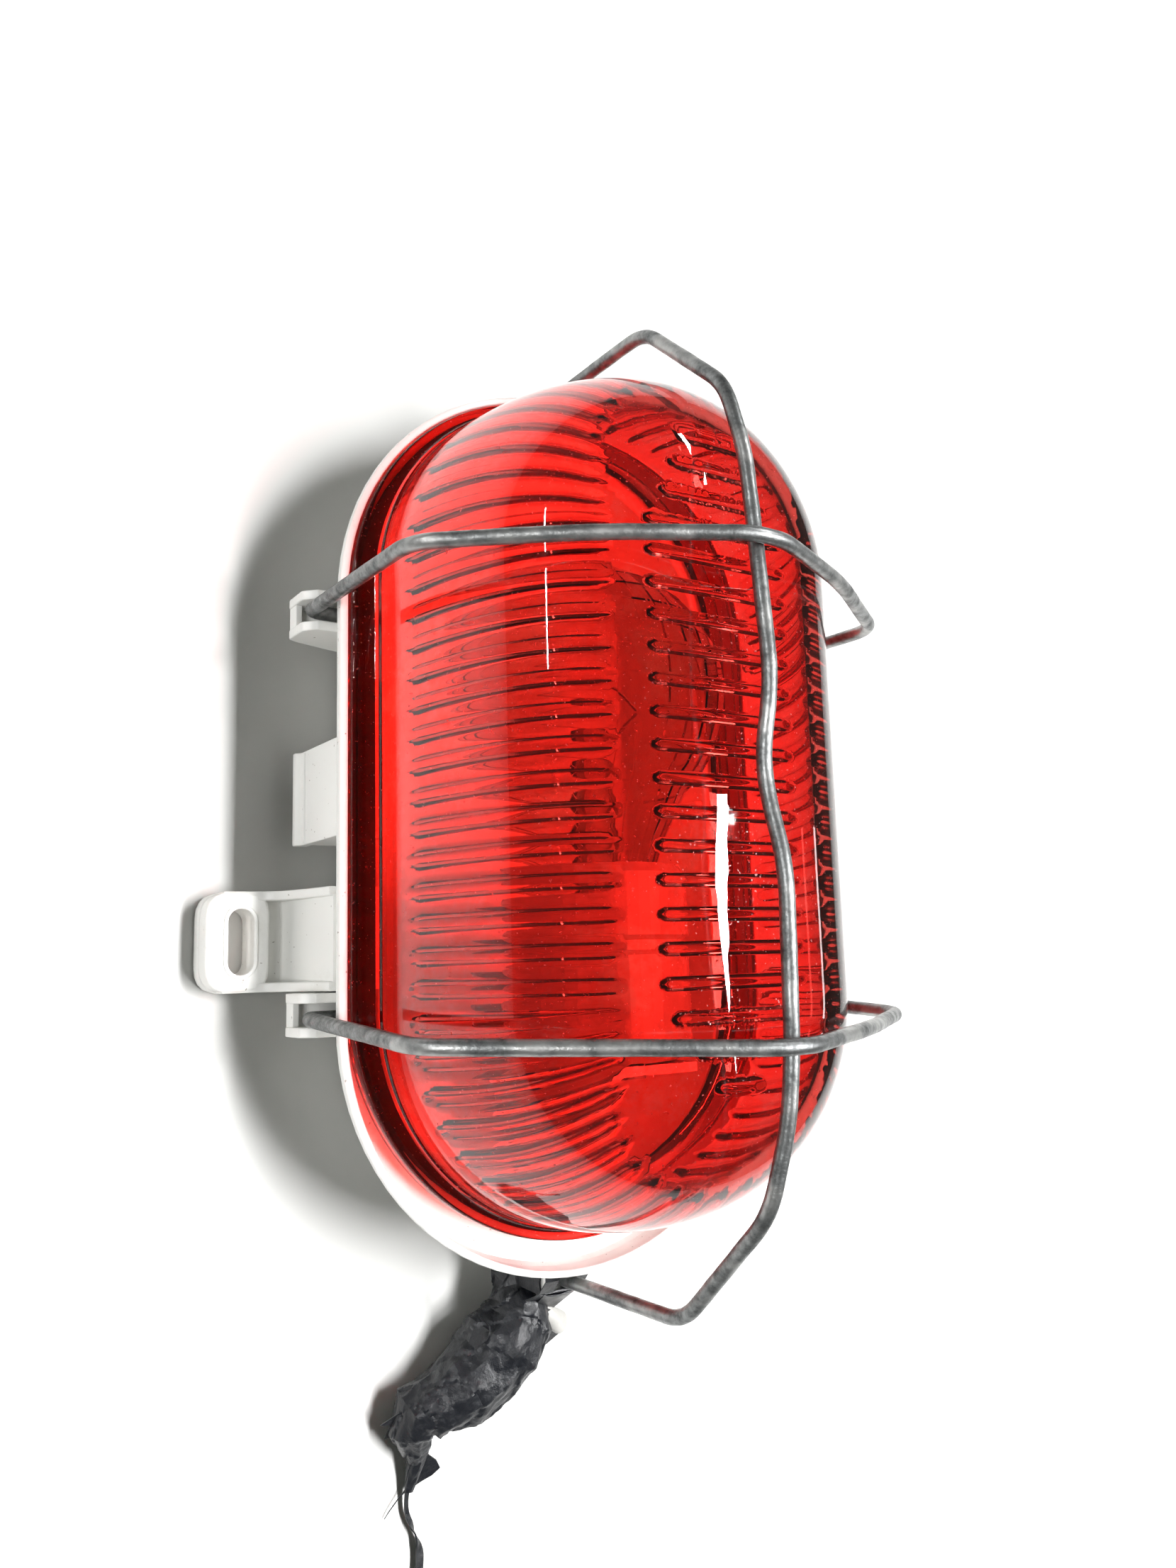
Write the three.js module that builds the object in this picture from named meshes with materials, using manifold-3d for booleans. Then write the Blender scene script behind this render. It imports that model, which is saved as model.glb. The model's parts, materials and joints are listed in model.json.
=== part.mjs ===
// An oval bulkhead lamp with a red ribbed glass and a wire guard, used as a darkroom safelight.
// Millimetres. The lamp lies on its back: the wall face is Z = 0, the glass points to +Z, and the
// long axis is Y, with the lampholder and the cable end at -Y. The origin is the middle of the wall face.
import * as THREE from "three";
import { mergeVertices } from "three/addons/utils/BufferGeometryUtils.js";
import Module from "manifold-3d";

const wasm = await Module();
wasm.setup();

// ---- driving dimensions ----
const GAP = 0.3; // clearance kept between separate pieces
const WIRE = 3.0; // guard wire diameter

const RIM = { top: 35, bottom: 26, radius: 56.1, skirtRadius: 52.6, spine: 43.7 };
const SEAT = { radius: 54.2, spine: 44.0, floor: 28.4 };
const BODY = { topRadius: 46.5, lowRadius: 43.0, footRadius: 40.0, footHeight: 4, spine: 43.6, wall: 2.6, floor: 3 };

const SEAL = { inner: 45.6, outer: 51.0, thickness: 2.0 };
const GLASS = {
  flangeRadius: 53.8, spine: 41.2, bottom: 31.0, flangeTop: 36.0,
  footRadius: 48.2, domeSpine: 43.6, height: 55.1, wall: 3.5,
  width: 4.1, rise: 1.8, // exponents of the dome's squared-off section, across and up
  shift: 2.9, // the glass has slid toward +Y in its roomy seat
};

const LUG = { y: 42.3, reach: 60.5, endReach: 104.6, slot: 4.8, cheek: 2.0, low: 15, endLow: 17 };
const EAR = { x: 67.4, y: 26.9, slotWidth: 5.5, slotLength: 14, width: 21.4, reach: 75.0, plate: 4, collar: 8.5 };
const TAB = { y: 4.0, width: 20.6, thickness: 2.2, low: 8.0, lip: 1.1 };

const LEG = { x: 58.7, y: 102.4, foot: 24.2 }; // where the guard's legs stand, and the height of its hooks
// Handling has bent the guard: both cross wires lean toward -Y, and the long wire is dented at its middle.
const CROSS = { cornerZ: 74.6, kinkX: 30.0, kinkZ: 92.8, apexZ: 103.7 };
const UPPER = { lugY: 42.3, cornerY: 41.6, apexY: 43.8 };
const LOWER = { lugY: -42.9, cornerY: -46.4, apexY: -48.8 };
const LONG = { footY: 102.4, cornerZ: 68.6, cornerLean: 0.6, bendY: 78.5, bendZ: 93.6, shoulderY: 62, shoulderZ: 98.6,
  crossZ: 100.4, riseZ: 102.4, riseY: 17, dipZ: 99.2, dipY: 4, bow: 2.2 };

const AXIS_Z = 42; // height of the lampholder's and the bulb's axis
const HOLDER = { rear: -54, front: -13, radius: 20, bore: 14.6 };
const SHELL = { inner: 13.6, outer: 14.3, rear: -44, front: -15.5 };
const CAP = { radius: 13.0, rear: -42.4, front: -18.0 };
const BULB = { radius: 30, neck: 12.6, wall: 1.0, centre: 25, seat: -19.5 };
const STEM_END = 12;
const FILAMENT = { half: 13, y: 30, sag: 6 };
const BRACKET = { width: 24, thickness: 2, top: 60 };
const TERMINAL = { width: 22, length: 13, height: 12, y: -68 };

const CABLE = { radius: 3.2, x: -5, z: 9.5, inner: -82, length: 49.6 };
const CORE = 1.2; // radius of an insulated core
const GROMMET = { wallY: -87.4, flange: 6.4, neck: 4.9 };

// ---- materials ----
function material(color, roughness, metalness = 0, opacity = 1) {
  return new THREE.MeshStandardMaterial({ color, roughness, metalness, opacity, transparent: opacity < 1 });
}
const WHITE_PLASTIC = material(0xe9e8e2, 0.45);
const RED_GLASS = material(0xc8101c, 0.08, 0, 0.7);
const GREY_WIRE = material(0x85878a, 0.45, 0.85);
const BLACK_RUBBER = material(0x1c1c1c, 0.8);
const CREAM_BAKELITE = material(0xcfc0b0, 0.35);
const BRASS = material(0xb9954a, 0.35, 1);
const STEEL = material(0x9a9c9e, 0.35, 1);
const CERAMIC = material(0xe6e0d2, 0.3);
const CLEAR_GLASS = material(0xf2f2ee, 0.1, 0, 0.5);
const BLACK_TAPE = material(0x101114, 0.35);
const GREY_SHEATH = material(0xd8d6d0, 0.5);
const BLUE_CORE = material(0x2b5fa8, 0.45);
const BROWN_CORE = material(0x6b3d22, 0.45);

// ---- solids ----
// A closed geometry as a manifold-3d solid.
function solid(geometry) {
  const bare = geometry.index ? geometry.toNonIndexed() : geometry.clone();
  bare.deleteAttribute("normal");
  bare.deleteAttribute("uv");
  const merged = mergeVertices(bare, 1e-4);
  const corners = merged.index.array;
  const triangles = [];
  for (let i = 0; i < corners.length; i += 3) {
    const [a, b, c] = [corners[i], corners[i + 1], corners[i + 2]];
    if (a !== b && b !== c && c !== a) triangles.push(a, b, c);
  }
  return new wasm.Manifold(new wasm.Mesh({
    numProp: 3,
    vertProperties: new Float32Array(merged.attributes.position.array),
    triVerts: new Uint32Array(triangles),
  }));
}

function geometryOf(shape) {
  const { vertProperties, triVerts } = shape.getMesh();
  const geometry = new THREE.BufferGeometry();
  geometry.setAttribute("position", new THREE.BufferAttribute(new Float32Array(vertProperties), 3));
  geometry.setIndex(new THREE.BufferAttribute(new Uint32Array(triVerts), 1));
  const flat = geometry.toNonIndexed();
  flat.computeVertexNormals();
  return flat;
}

function joined(...shapes) {
  return shapes.reduce((whole, shape) => whole.add(shape));
}

function cut(shape, ...tools) {
  return tools.reduce((left, tool) => left.subtract(tool), shape);
}

// A lathe about Z whose half turns are pulled apart along Y by the spine, so that circles become ovals.
// Its profile is a list of [radius, height], where a point may add a spine of its own.
function ovalLathe(profile, spine, segments = 64) {
  const points = profile.map(([radius, height]) => new THREE.Vector2(radius, height));
  const geometry = new THREE.LatheGeometry(points, segments, Math.PI / segments);
  const position = geometry.attributes.position;
  for (let i = 0; i < position.count; i++) {
    const turn = Math.PI / segments + (Math.floor(i / points.length) * 2 * Math.PI) / segments;
    const side = Math.cos(turn) < 0 ? 1 : -1;
    position.setZ(i, position.getZ(i) - side * (profile[i % points.length][2] ?? spine));
  }
  return geometry.rotateX(Math.PI / 2);
}

// A lathe about an axis along Y at the bulb's height. Its profile is a list of [radius, y].
function axleLathe(profile, segments = 40) {
  const points = profile.map(([radius, y]) => new THREE.Vector2(radius, y));
  return new THREE.LatheGeometry(points, segments).translate(0, 0, AXIS_Z);
}

function ring(inner, outer, from, to, segments) {
  return axleLathe([[inner, from], [outer, from], [outer, to], [inner, to], [inner, from]], segments);
}

function box(x, y, z, width, length, height) {
  return new THREE.BoxGeometry(width, length, height).translate(x, y, z + height / 2);
}

// A rod of the given radius from one point to another.
function rod(from, to, radius, sides = 12) {
  const start = new THREE.Vector3(...from);
  const along = new THREE.Vector3(...to).sub(start);
  const geometry = new THREE.CylinderGeometry(radius, radius, along.length(), sides);
  geometry.applyQuaternion(new THREE.Quaternion().setFromUnitVectors(
    new THREE.Vector3(0, 1, 0), along.clone().normalize()));
  return geometry.translate(...start.addScaledVector(along, 0.5).toArray());
}

// A path through the points, straight between them and rounded at each corner by the given length.
function bentPath(points, rounding) {
  const corners = points.map((point) => new THREE.Vector3(...point));
  const path = new THREE.CurvePath();
  let start = corners[0];
  for (let i = 1; i < corners.length - 1; i++) {
    const corner = corners[i];
    const before = corner.clone().lerp(corners[i - 1], Math.min(0.45, rounding / corner.distanceTo(corners[i - 1])));
    const after = corner.clone().lerp(corners[i + 1], Math.min(0.45, rounding / corner.distanceTo(corners[i + 1])));
    path.add(new THREE.LineCurve3(start, before));
    path.add(new THREE.QuadraticBezierCurve3(before, corner, after));
    start = after;
  }
  path.add(new THREE.LineCurve3(start, corners.at(-1)));
  return path;
}

// A tube of the given section size along a path, closed at both ends.
function tube(path, radius, step, sides = 10, flatness = 1) {
  const section = new THREE.Shape();
  for (let i = 0; i < sides; i++) {
    const angle = (i + 0.5) * (2 * Math.PI / sides);
    const [u, v] = [radius * Math.cos(angle), radius * flatness * Math.sin(angle)];
    if (i === 0) section.moveTo(u, v);
    else section.lineTo(u, v);
  }
  section.closePath();
  const steps = Math.max(2, Math.round(path.getLength() / step));
  return new THREE.ExtrudeGeometry(section, { steps, bevelEnabled: false, extrudePath: path });
}

// An outline of [x, z] points, given a thickness along Y about the middle y.
function sideSlab(outline, y, thickness) {
  const shape = new THREE.Shape(outline.map(([x, z]) => new THREE.Vector2(x, z)));
  const geometry = new THREE.ExtrudeGeometry(shape, { depth: thickness, bevelEnabled: false });
  return geometry.rotateX(Math.PI / 2).translate(0, y + thickness / 2, 0);
}

// A rounded slot or block: a straight run along Y with round ends, from the height z upward.
function longRound(x, y, z, width, length, height) {
  const radius = width / 2;
  const run = length / 2 - radius;
  const shape = new THREE.Shape();
  shape.absarc(0, run, radius, 0, Math.PI);
  shape.absarc(0, -run, radius, Math.PI, 2 * Math.PI);
  shape.closePath();
  const geometry = new THREE.ExtrudeGeometry(shape, { depth: height, bevelEnabled: false, curveSegments: 10 });
  return geometry.translate(x, y, z);
}

const halfTurn = (shape) => shape.rotate([0, 0, 180]);
const mirrorY = (shape) => shape.mirror([0, 1, 0]);
const mirrorX = (shape) => shape.mirror([1, 0, 0]);

// ---- the moulded base ----
function earSolid() {
  const wallX = BODY.lowRadius - 1;
  const { y, width, plate, collar } = EAR;
  const gussetOutline = [[wallX, 0], [EAR.reach - 4, 0], [EAR.reach - 4, collar - 0.5], [61.5, collar], [58.8, 12],
    [57.2, 17], [55.6, 22], [54.6, RIM.bottom + 1], [wallX, RIM.bottom + 1]];
  const block = solid(sideSlab([[wallX, 0], [57.6, 0], [57.6, plate], [54.0, RIM.bottom + 1],
    [wallX, RIM.bottom + 1]], y, width - 1));
  const gusset = 2.0;
  const side = (width - gusset) / 2;
  const plateSolid = joined(
    solid(box((wallX + EAR.reach - 4) / 2, y, 0, EAR.reach - 4 - wallX, width, plate)),
    solid(box(EAR.reach - 3.5, y, 0, 7, width - 7, collar - 0.6)));
  const collarSolid = solid(longRound(EAR.x + 0.8, y, 0, 13.6, width - 0.2, collar));
  const slot = solid(longRound(EAR.x, y, -1, EAR.slotWidth, EAR.slotLength, collar + 2));
  const whole = joined(block, plateSolid, collarSolid,
    solid(sideSlab(gussetOutline, y - side, gusset)), solid(sideSlab(gussetOutline, y + side, gusset)));
  return cut(whole, slot);
}

function lugSolid() {
  const wallX = BODY.topRadius - 1.5;
  const { y, reach, slot, cheek, low } = LUG;
  const outline = [[wallX, low - 6], [wallX + 3, low - 4], [reach - 2.2, low], [reach, low + 1.2],
    [reach, RIM.bottom - 1.6], [reach - 2.6, RIM.bottom + 1], [wallX, RIM.bottom + 1]];
  const side = (slot + cheek) / 2;
  return joined(
    solid(sideSlab(outline, y - side, cheek)),
    solid(sideSlab(outline, y + side, cheek)),
    solid(box((wallX + reach) / 2 + 1, y, low + 0.6, reach - wallX - 2, slot + 1, 1.8)));
}

function endLugSolid() {
  const wallY = BODY.topRadius + BODY.spine - 1.5;
  const { endReach, slot, cheek, endLow } = LUG;
  const outline = [[wallY, endLow - 1], [endReach - 2, endLow], [endReach, endLow + 1.4],
    [endReach, RIM.bottom - 1.6], [endReach - 2.4, RIM.bottom + 1], [wallY, RIM.bottom + 1]];
  const side = (slot + cheek) / 2;
  return joined(
    solid(sideSlab(outline, -side, cheek)),
    solid(sideSlab(outline, side, cheek)),
    solid(box((wallY + endReach) / 2, 0, endLow + 0.6, endReach - wallY - 2, slot + 1, 1.8)))
    .rotate([0, 0, 90]);
}

function tabSolid() {
  const { y, width, thickness, low, lip } = TAB;
  const outer = RIM.radius - 0.2;
  const plate = solid(sideSlab([[outer - thickness, low], [outer + lip, low], [outer + lip, low + 1.6],
    [outer, low + 2.4], [outer, RIM.bottom + 5], [outer - thickness, RIM.bottom + 5]], y, width));
  const webOutline = [[BODY.lowRadius - 1, low + 3], [outer - 1, low + 3], [outer - 1, RIM.bottom + 1],
    [BODY.lowRadius - 1, RIM.bottom + 1]];
  const side = (width - 1.6) / 2;
  return joined(plate,
    solid(sideSlab(webOutline, y - side, 1.6)), solid(sideSlab(webOutline, y + side, 1.6)));
}

function baseSolid() {
  const rim = solid(ovalLathe([[0, RIM.bottom], [RIM.skirtRadius, RIM.bottom], [RIM.radius, RIM.top - 1.8],
    [RIM.radius, RIM.top - 0.5], [RIM.radius - 0.5, RIM.top], [0, RIM.top]], RIM.spine));
  const body = solid(ovalLathe([[0, 0], [BODY.footRadius, 0], [BODY.lowRadius, BODY.footHeight],
    [BODY.topRadius, RIM.bottom + 1], [0, RIM.bottom + 1]], BODY.spine));
  const seat = solid(ovalLathe([[0, SEAT.floor], [SEAT.radius, SEAT.floor], [SEAT.radius, RIM.top + 1],
    [0, RIM.top + 1]], SEAT.spine));
  const wall = BODY.wall;
  const hollow = solid(ovalLathe([[0, BODY.floor], [BODY.footRadius - wall, BODY.floor],
    [BODY.lowRadius - wall, BODY.footHeight + 2], [BODY.topRadius - wall, RIM.bottom],
    [BODY.topRadius - wall, RIM.top + 1], [0, RIM.top + 1]], BODY.spine));
  const bosses = [-1, 1].map((side) => solid(rod([side * 8, -44, 1], [side * 8, -44, 7], 4, 20)));
  const [ear, lug, endLug, tab] = [earSolid(), lugSolid(), endLugSolid(), tabSolid()];
  // The left side's tab stands toward +Y and its ear toward -Y; the right side is the same, half a turn round.
  const leftEar = mirrorX(mirrorY(ear));
  const leftTab = mirrorX(tab);
  const outside = joined(rim, body, leftEar, halfTurn(leftEar), leftTab, halfTurn(leftTab),
    lug, mirrorX(lug), mirrorY(lug), mirrorX(mirrorY(lug)), endLug, mirrorY(endLug));
  const entry = solid(rod([CABLE.x, -98, CABLE.z], [CABLE.x, -80, CABLE.z], GROMMET.neck + GAP, 24));
  return joined(cut(outside, seat, hollow, entry), ...bosses.map((boss) => boss.intersect(body)));
}

// ---- seal and glass ----
function sealGeometry() {
  const low = SEAT.floor + GAP;
  const top = low + SEAL.thickness;
  const spine = GLASS.domeSpine;
  return ovalLathe([[SEAL.inner, low, spine], [SEAL.outer, low], [SEAL.outer, top], [SEAL.inner, top, spine],
    [SEAL.inner, low, spine]], GLASS.spine).translate(0, GLASS.shift, 0);
}

// Points of the dome's section from its foot to its crown, a squared-off arch.
function archPoints(radius, height, from, count) {
  const points = [];
  for (let i = 0; i <= count; i++) {
    const angle = (Math.PI / 2) * (i / count);
    points.push([radius * Math.cos(angle) ** (2 / GLASS.width), from + height * Math.sin(angle) ** (2 / GLASS.rise)]);
  }
  points[count][0] = 0;
  return points;
}

function glassGeometry() {
  const { flangeRadius, bottom, flangeTop, footRadius, height, wall, spine, domeSpine } = GLASS;
  const outer = archPoints(footRadius, height - 2.5, flangeTop + 2.5, 15);
  const inner = archPoints(footRadius - wall, height - wall, flangeTop, 12);
  const profile = [
    ...inner.reverse(),
    [footRadius - wall, bottom],
    [flangeRadius - 0.8, bottom, spine], [flangeRadius, bottom + 0.8, spine],
    [flangeRadius, flangeTop - 1.2, spine], [flangeRadius - 1.2, flangeTop, spine],
    [footRadius + 1.4, flangeTop], [footRadius + 0.5, flangeTop + 0.8],
    ...outer,
  ];
  return ovalLathe(profile, domeSpine, 64).translate(0, GLASS.shift, 0);
}

// ---- the wire guard ----
function crossWire({ lugY, cornerY, apexY }) {
  const { cornerZ, kinkX, kinkZ, apexZ } = CROSS;
  const foot = LEG.foot + WIRE / 2 + GAP;
  const flat = 5;
  const kinkY = (cornerY + apexY) / 2;
  const half = [[LEG.x, lugY, foot], [LEG.x, cornerY, cornerZ], [kinkX, kinkY, kinkZ], [flat, apexY, apexZ]];
  const other = half.map(([x, y, z]) => [-x, y, z]).reverse();
  return tube(bentPath([...half, ...other], 5), WIRE / 2, 3.8);
}

function longWire() {
  const { footY, cornerZ, cornerLean, bendY, bendZ, shoulderY, shoulderZ, crossZ, riseZ, riseY, dipZ, dipY, bow } = LONG;
  const foot = LEG.foot + WIRE / 2 + GAP;
  const half = [[0, footY, foot], [0, footY - cornerLean, cornerZ], [0, bendY, bendZ], [0, shoulderY, shoulderZ]];
  const other = half.map(([x, y, z]) => [x, -y, z]).reverse();
  other[0][0] = bow;
  other[1][0] = bow / 2;
  return tube(bentPath([...half, [0, UPPER.apexY, crossZ], [0, riseY, riseZ], [0, dipY, dipZ],
    [bow / 4, -dipY, dipZ], [bow / 2, -riseY, riseZ], [bow, LOWER.apexY, crossZ], ...other], 5), WIRE / 2, 3.8);
}

function hookRods() {
  const reach = { side: 51.2, end: 94.6 };
  const z = LEG.foot;
  const outer = WIRE / 2 + 0.2;
  const hooks = [];
  for (const [name, sy, { lugY }] of [["upper", 1, UPPER], ["lower", -1, LOWER]]) {
    for (const [sideName, sx] of [["left", -1], ["right", 1]]) {
      hooks.push([`guard_hook_${name}_${sideName}`, [sx * (LEG.x + outer), lugY, z], [sx * reach.side, lugY, z]]);
    }
    hooks.push([`guard_hook_${name}_end`, [0, sy * (LEG.y + outer), z], [0, sy * reach.end, z]]);
  }
  return hooks;
}

// ---- bulb and lampholder ----
function bulbGlassGeometry() {
  const { radius, neck, wall, centre, seat } = BULB;
  const skin = (shrink) => {
    const points = [];
    const r = radius - shrink;
    const lowest = -0.72; // where the neck's flare leaves the ball, as a share of the radius
    for (let i = 0; i <= 12; i++) {
      const angle = Math.PI / 2 - (i / 12) * (Math.PI / 2 - Math.asin(lowest));
      points.push([r * Math.cos(angle), centre + r * Math.sin(angle)]);
    }
    points[0][0] = 0;
    points.push([neck + 3.2 - shrink, centre - 32], [neck + 0.8 - shrink, centre - 39], [neck - shrink, seat]);
    return points;
  };
  return axleLathe([...skin(wall), ...skin(0).reverse()], 32);
}

function capShellGeometry() {
  const { radius, rear, front } = CAP;
  const outer = [];
  const turns = 5;
  for (let i = 0; i <= turns * 2; i++) {
    const crest = i % 2 === 0 ? 0 : 0.9;
    outer.push([radius - 0.9 + crest, front - 4 - (i / (turns * 2)) * 18]);
  }
  const profile = [[BULB.neck + 2 * GAP, front + 0.6], [radius + 0.3, front], [radius - 0.2, front - 3], ...outer,
    [radius - 3, rear + 0.4], [radius - 3.8, rear + 1.4], [radius - 1.6, rear + 4],
    [radius - 1.6, seatFloor()], [BULB.neck + 2 * GAP, seatFloor() + 0.8],
    [BULB.neck + 2 * GAP, front + 0.6]];
  return axleLathe(profile.reverse(), 36);
}
const seatFloor = () => BULB.seat - 2.4;

function holderSolid() {
  const { rear, front, radius, bore } = HOLDER;
  const outside = solid(axleLathe([[0, rear], [radius - 3, rear], [radius, rear + 3], [radius, rear + 22],
    [radius - 1.2, rear + 23], [radius - 1.2, rear + 25], [radius, rear + 26], [radius, front - 2],
    [radius - 1.5, front], [0, front]], 48));
  const mouth = solid(axleLathe([[0, SHELL.rear - 0.6], [bore, SHELL.rear - 0.6], [bore, SHELL.front + 2],
    [bore + 1.5, front + 1], [0, front + 1]], 48));
  return cut(outside, mouth);
}

function bracketSolid() {
  const { width, thickness, top } = BRACKET;
  const plateY = HOLDER.rear - GAP - thickness / 2;
  const foot = 7 + GAP;
  const upright = solid(box(0, plateY, foot, width, thickness, top - foot));
  const sole = solid(box(0, plateY + 10, foot, width, 20, thickness));
  const holes = [-1, 1].map((side) =>
    solid(rod([side * 8, -44, foot - 1], [side * 8, -44, foot + thickness + 1], 2.0, 16)));
  return cut(joined(upright, sole), ...holes);
}

// ---- taped cable ----
function smoothPath(points) {
  return new THREE.CatmullRomCurve3(points.map((point) => new THREE.Vector3(...point)), false, "centripetal");
}

// The middle line of the cable and, beyond its cut end, of the tape wound past it.
function tapedPath() {
  return smoothPath([
    [CABLE.x, CABLE.inner, CABLE.z], [CABLE.x, -92, CABLE.z], [-4.4, -101, 9.8], [-4.2, -108, 10.4],
    [-5.2, -114, 10.6], [-8, -119, 10.4], [-12.5, -122.8, 9.8], [-17.5, -125.4, 9.0], [-21.8, -127.4, 8.3],
    [-25.0, -130.4, 7.2], [-26.3, -134.4, 5.8], [-26.0, -138.6, 4.3],
  ]);
}

function cablePath() {
  const whole = tapedPath();
  const share = CABLE.length / whole.getLength();
  const steps = 24;
  return smoothPath(Array.from({ length: steps + 1 }, (_, i) => whole.getPointAt(share * i / steps).toArray()));
}

// Bends a lathe made along Y onto a path, y becoming the distance along it.
function bendAlong(geometry, path) {
  const length = path.getLength();
  const position = geometry.attributes.position;
  const up = new THREE.Vector3(0, 0, 1);
  for (let i = 0; i < position.count; i++) {
    const share = position.getY(i) / length;
    const centre = path.getPointAt(Math.min(1, Math.max(0, share)));
    const along = path.getTangentAt(Math.min(1, Math.max(0, share)));
    const across = new THREE.Vector3().crossVectors(along, up).normalize();
    const rise = new THREE.Vector3().crossVectors(across, along);
    const beyond = (share - Math.min(1, share)) * length;
    centre.addScaledVector(along, beyond).addScaledVector(across, position.getX(i))
      .addScaledVector(rise, position.getZ(i));
    position.setXYZ(i, centre.x, centre.y, centre.z);
  }
  return geometry;
}

function tapeWrapGeometry() {
  const path = tapedPath();
  const bore = CABLE.radius + GAP;
  const start = 20.5; // where the tape begins, as a distance along the cable
  const boreEnd = CABLE.length + GAP;
  const boreSteps = 14;
  const inner = Array.from({ length: boreSteps + 1 }, (_, i) =>
    [bore, boreEnd + (start - boreEnd) * (i / boreSteps)]);
  const outer = [[5.2, 0], [6.0, 3.7], [8.2, 8.4], [9.4, 14], [9.3, 19.5], [8.6, 25], [7.4, 30.5], [6.2, 35.5],
    [4.6, 40.5], [2.8, 45]];
  const profile = [[0, boreEnd], ...inner, ...outer.map(([radius, y]) => [radius, start + y]), [0, start + 45.6]];
  const points = profile.map(([radius, y]) => new THREE.Vector2(radius, y));
  return bendAlong(new THREE.LatheGeometry(points, 20), path);
}

function tapeTailPath() {
  return smoothPath([
    [-25.8, -139.4, 3.5], [-26.0, -143, 2.7], [-26.8, -147, 1.9], [-26.7, -151.5, 1.5], [-24.8, -156, 1.4],
    [-23.7, -160, 1.4], [-23.8, -165, 1.5], [-23.5, -170, 1.4], [-22.8, -175, 1.5],
  ]);
}

// ---- assembly ----
const lamp = new THREE.Group();
lamp.name = "safelight";

function add(name, geometry, look) {
  const mesh = new THREE.Mesh(geometry, look);
  mesh.name = name;
  lamp.add(mesh);
  return mesh;
}

add("base_tray", geometryOf(baseSolid()), WHITE_PLASTIC);
add("seal_ring", sealGeometry(), BLACK_RUBBER);
add("glass_globe", geometryOf(solid(glassGeometry())), RED_GLASS);

add("guard_long_wire", longWire(), GREY_WIRE);
add("guard_upper_cross_wire", crossWire(UPPER), GREY_WIRE);
add("guard_lower_cross_wire", crossWire(LOWER), GREY_WIRE);
for (const [name, from, to] of hookRods()) add(name, rod(from, to, WIRE / 2, 10), GREY_WIRE);

add("lampholder_body", geometryOf(holderSolid()), CREAM_BAKELITE);
add("lampholder_shell", ring(SHELL.inner, SHELL.outer, SHELL.rear, SHELL.front, 40), BRASS);
add("lampholder_contact", rod([0, SHELL.rear - GAP, AXIS_Z], [0, SHELL.rear - GAP + 0.8, AXIS_Z], 5, 20), BRASS);
add("lampholder_bracket", geometryOf(bracketSolid()), STEEL);
for (const [name, side] of [["left", -1], ["right", 1]]) {
  const x = side * 8;
  const screw = joined(solid(rod([x, -44, 7.2 + GAP], [x, -44, 10], 1.6, 16)),
    solid(rod([x, -44, 9 + 2 * GAP], [x, -44, 11.6], 3.4, 16)));
  add(`bracket_screw_${name}`, geometryOf(screw), STEEL);
  add(`holder_screw_${name}`, rod([x, HOLDER.rear - 2 * GAP - 2, AXIS_Z], [x, HOLDER.rear - 5, AXIS_Z], 3, 16), STEEL);
}

add("terminal_block", geometryOf(cut(
  solid(box(0, TERMINAL.y, BODY.floor + GAP, TERMINAL.width, TERMINAL.length, TERMINAL.height)),
  solid(rod([-5.5, -80, 9.3], [-5.5, -50, 9.3], CORE + GAP + 0.2, 14)),
  solid(rod([5.5, -80, 9.3], [5.5, -50, 9.3], CORE + GAP + 0.2, 14)))), CERAMIC);
for (const [name, side] of [["left", -1], ["right", 1]]) {
  const top = BODY.floor + TERMINAL.height + 2 * GAP;
  add(`terminal_screw_${name}`, rod([side * 5.5, TERMINAL.y, top], [side * 5.5, TERMINAL.y, top + 1.6], 2.6, 14), BRASS);
  const lead = new THREE.CatmullRomCurve3([
    [side * 5.5, TERMINAL.y + 7, 9.3], [side * 9, -58.5, 10.5], [side * 14.6, -58.8, 20], [side * 15, -58.8, 34],
    [side * 15, HOLDER.rear - 3, 39.4], [side * 15, HOLDER.rear - 2 * GAP, 40],
  ].map((point) => new THREE.Vector3(...point)), false, "centripetal");
  add(`holder_lead_${name}`, tube(lead, CORE, 2.6, 8), side < 0 ? BLUE_CORE : BROWN_CORE);
  const core = new THREE.CatmullRomCurve3([
    [CABLE.x + side * 1.5, CABLE.inner + 2 * GAP, CABLE.z], [CABLE.x + side * 1.6, CABLE.inner + 2, CABLE.z],
    [side * 5.5, TERMINAL.y - 9, 9.3], [side * 5.5, TERMINAL.y - 6, 9.3],
  ].map((point) => new THREE.Vector3(...point)), false, "centripetal");
  add(`cable_core_${name}`, tube(core, CORE, 2.0, 8), side < 0 ? BLUE_CORE : BROWN_CORE);
}

add("bulb_glass", geometryOf(solid(bulbGlassGeometry())), CLEAR_GLASS);
add("bulb_cap_shell", geometryOf(solid(capShellGeometry())), STEEL);
add("bulb_cap_insulator", ring(4.8, 8.8, CAP.rear + 0.1, CAP.rear + 1.6, 24), BLACK_RUBBER);
add("bulb_tip_contact", rod([0, SHELL.rear + 1.0, AXIS_Z], [0, SHELL.rear + 2.6, AXIS_Z], 4.5, 20), BRASS);
add("bulb_stem", axleLathe([[0, BULB.seat], [9, BULB.seat], [5, BULB.seat + 8], [4.2, STEM_END - 4],
  [2.4, STEM_END], [0, STEM_END]], 20), CLEAR_GLASS);
const filamentArc = new THREE.CatmullRomCurve3([-1, -0.6, 0, 0.6, 1].map((share) => new THREE.Vector3(
  share * FILAMENT.half, FILAMENT.y - FILAMENT.sag * share * share, AXIS_Z)));
add("bulb_filament", tube(filamentArc, 0.4, 2.5, 6), STEEL);
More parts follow.
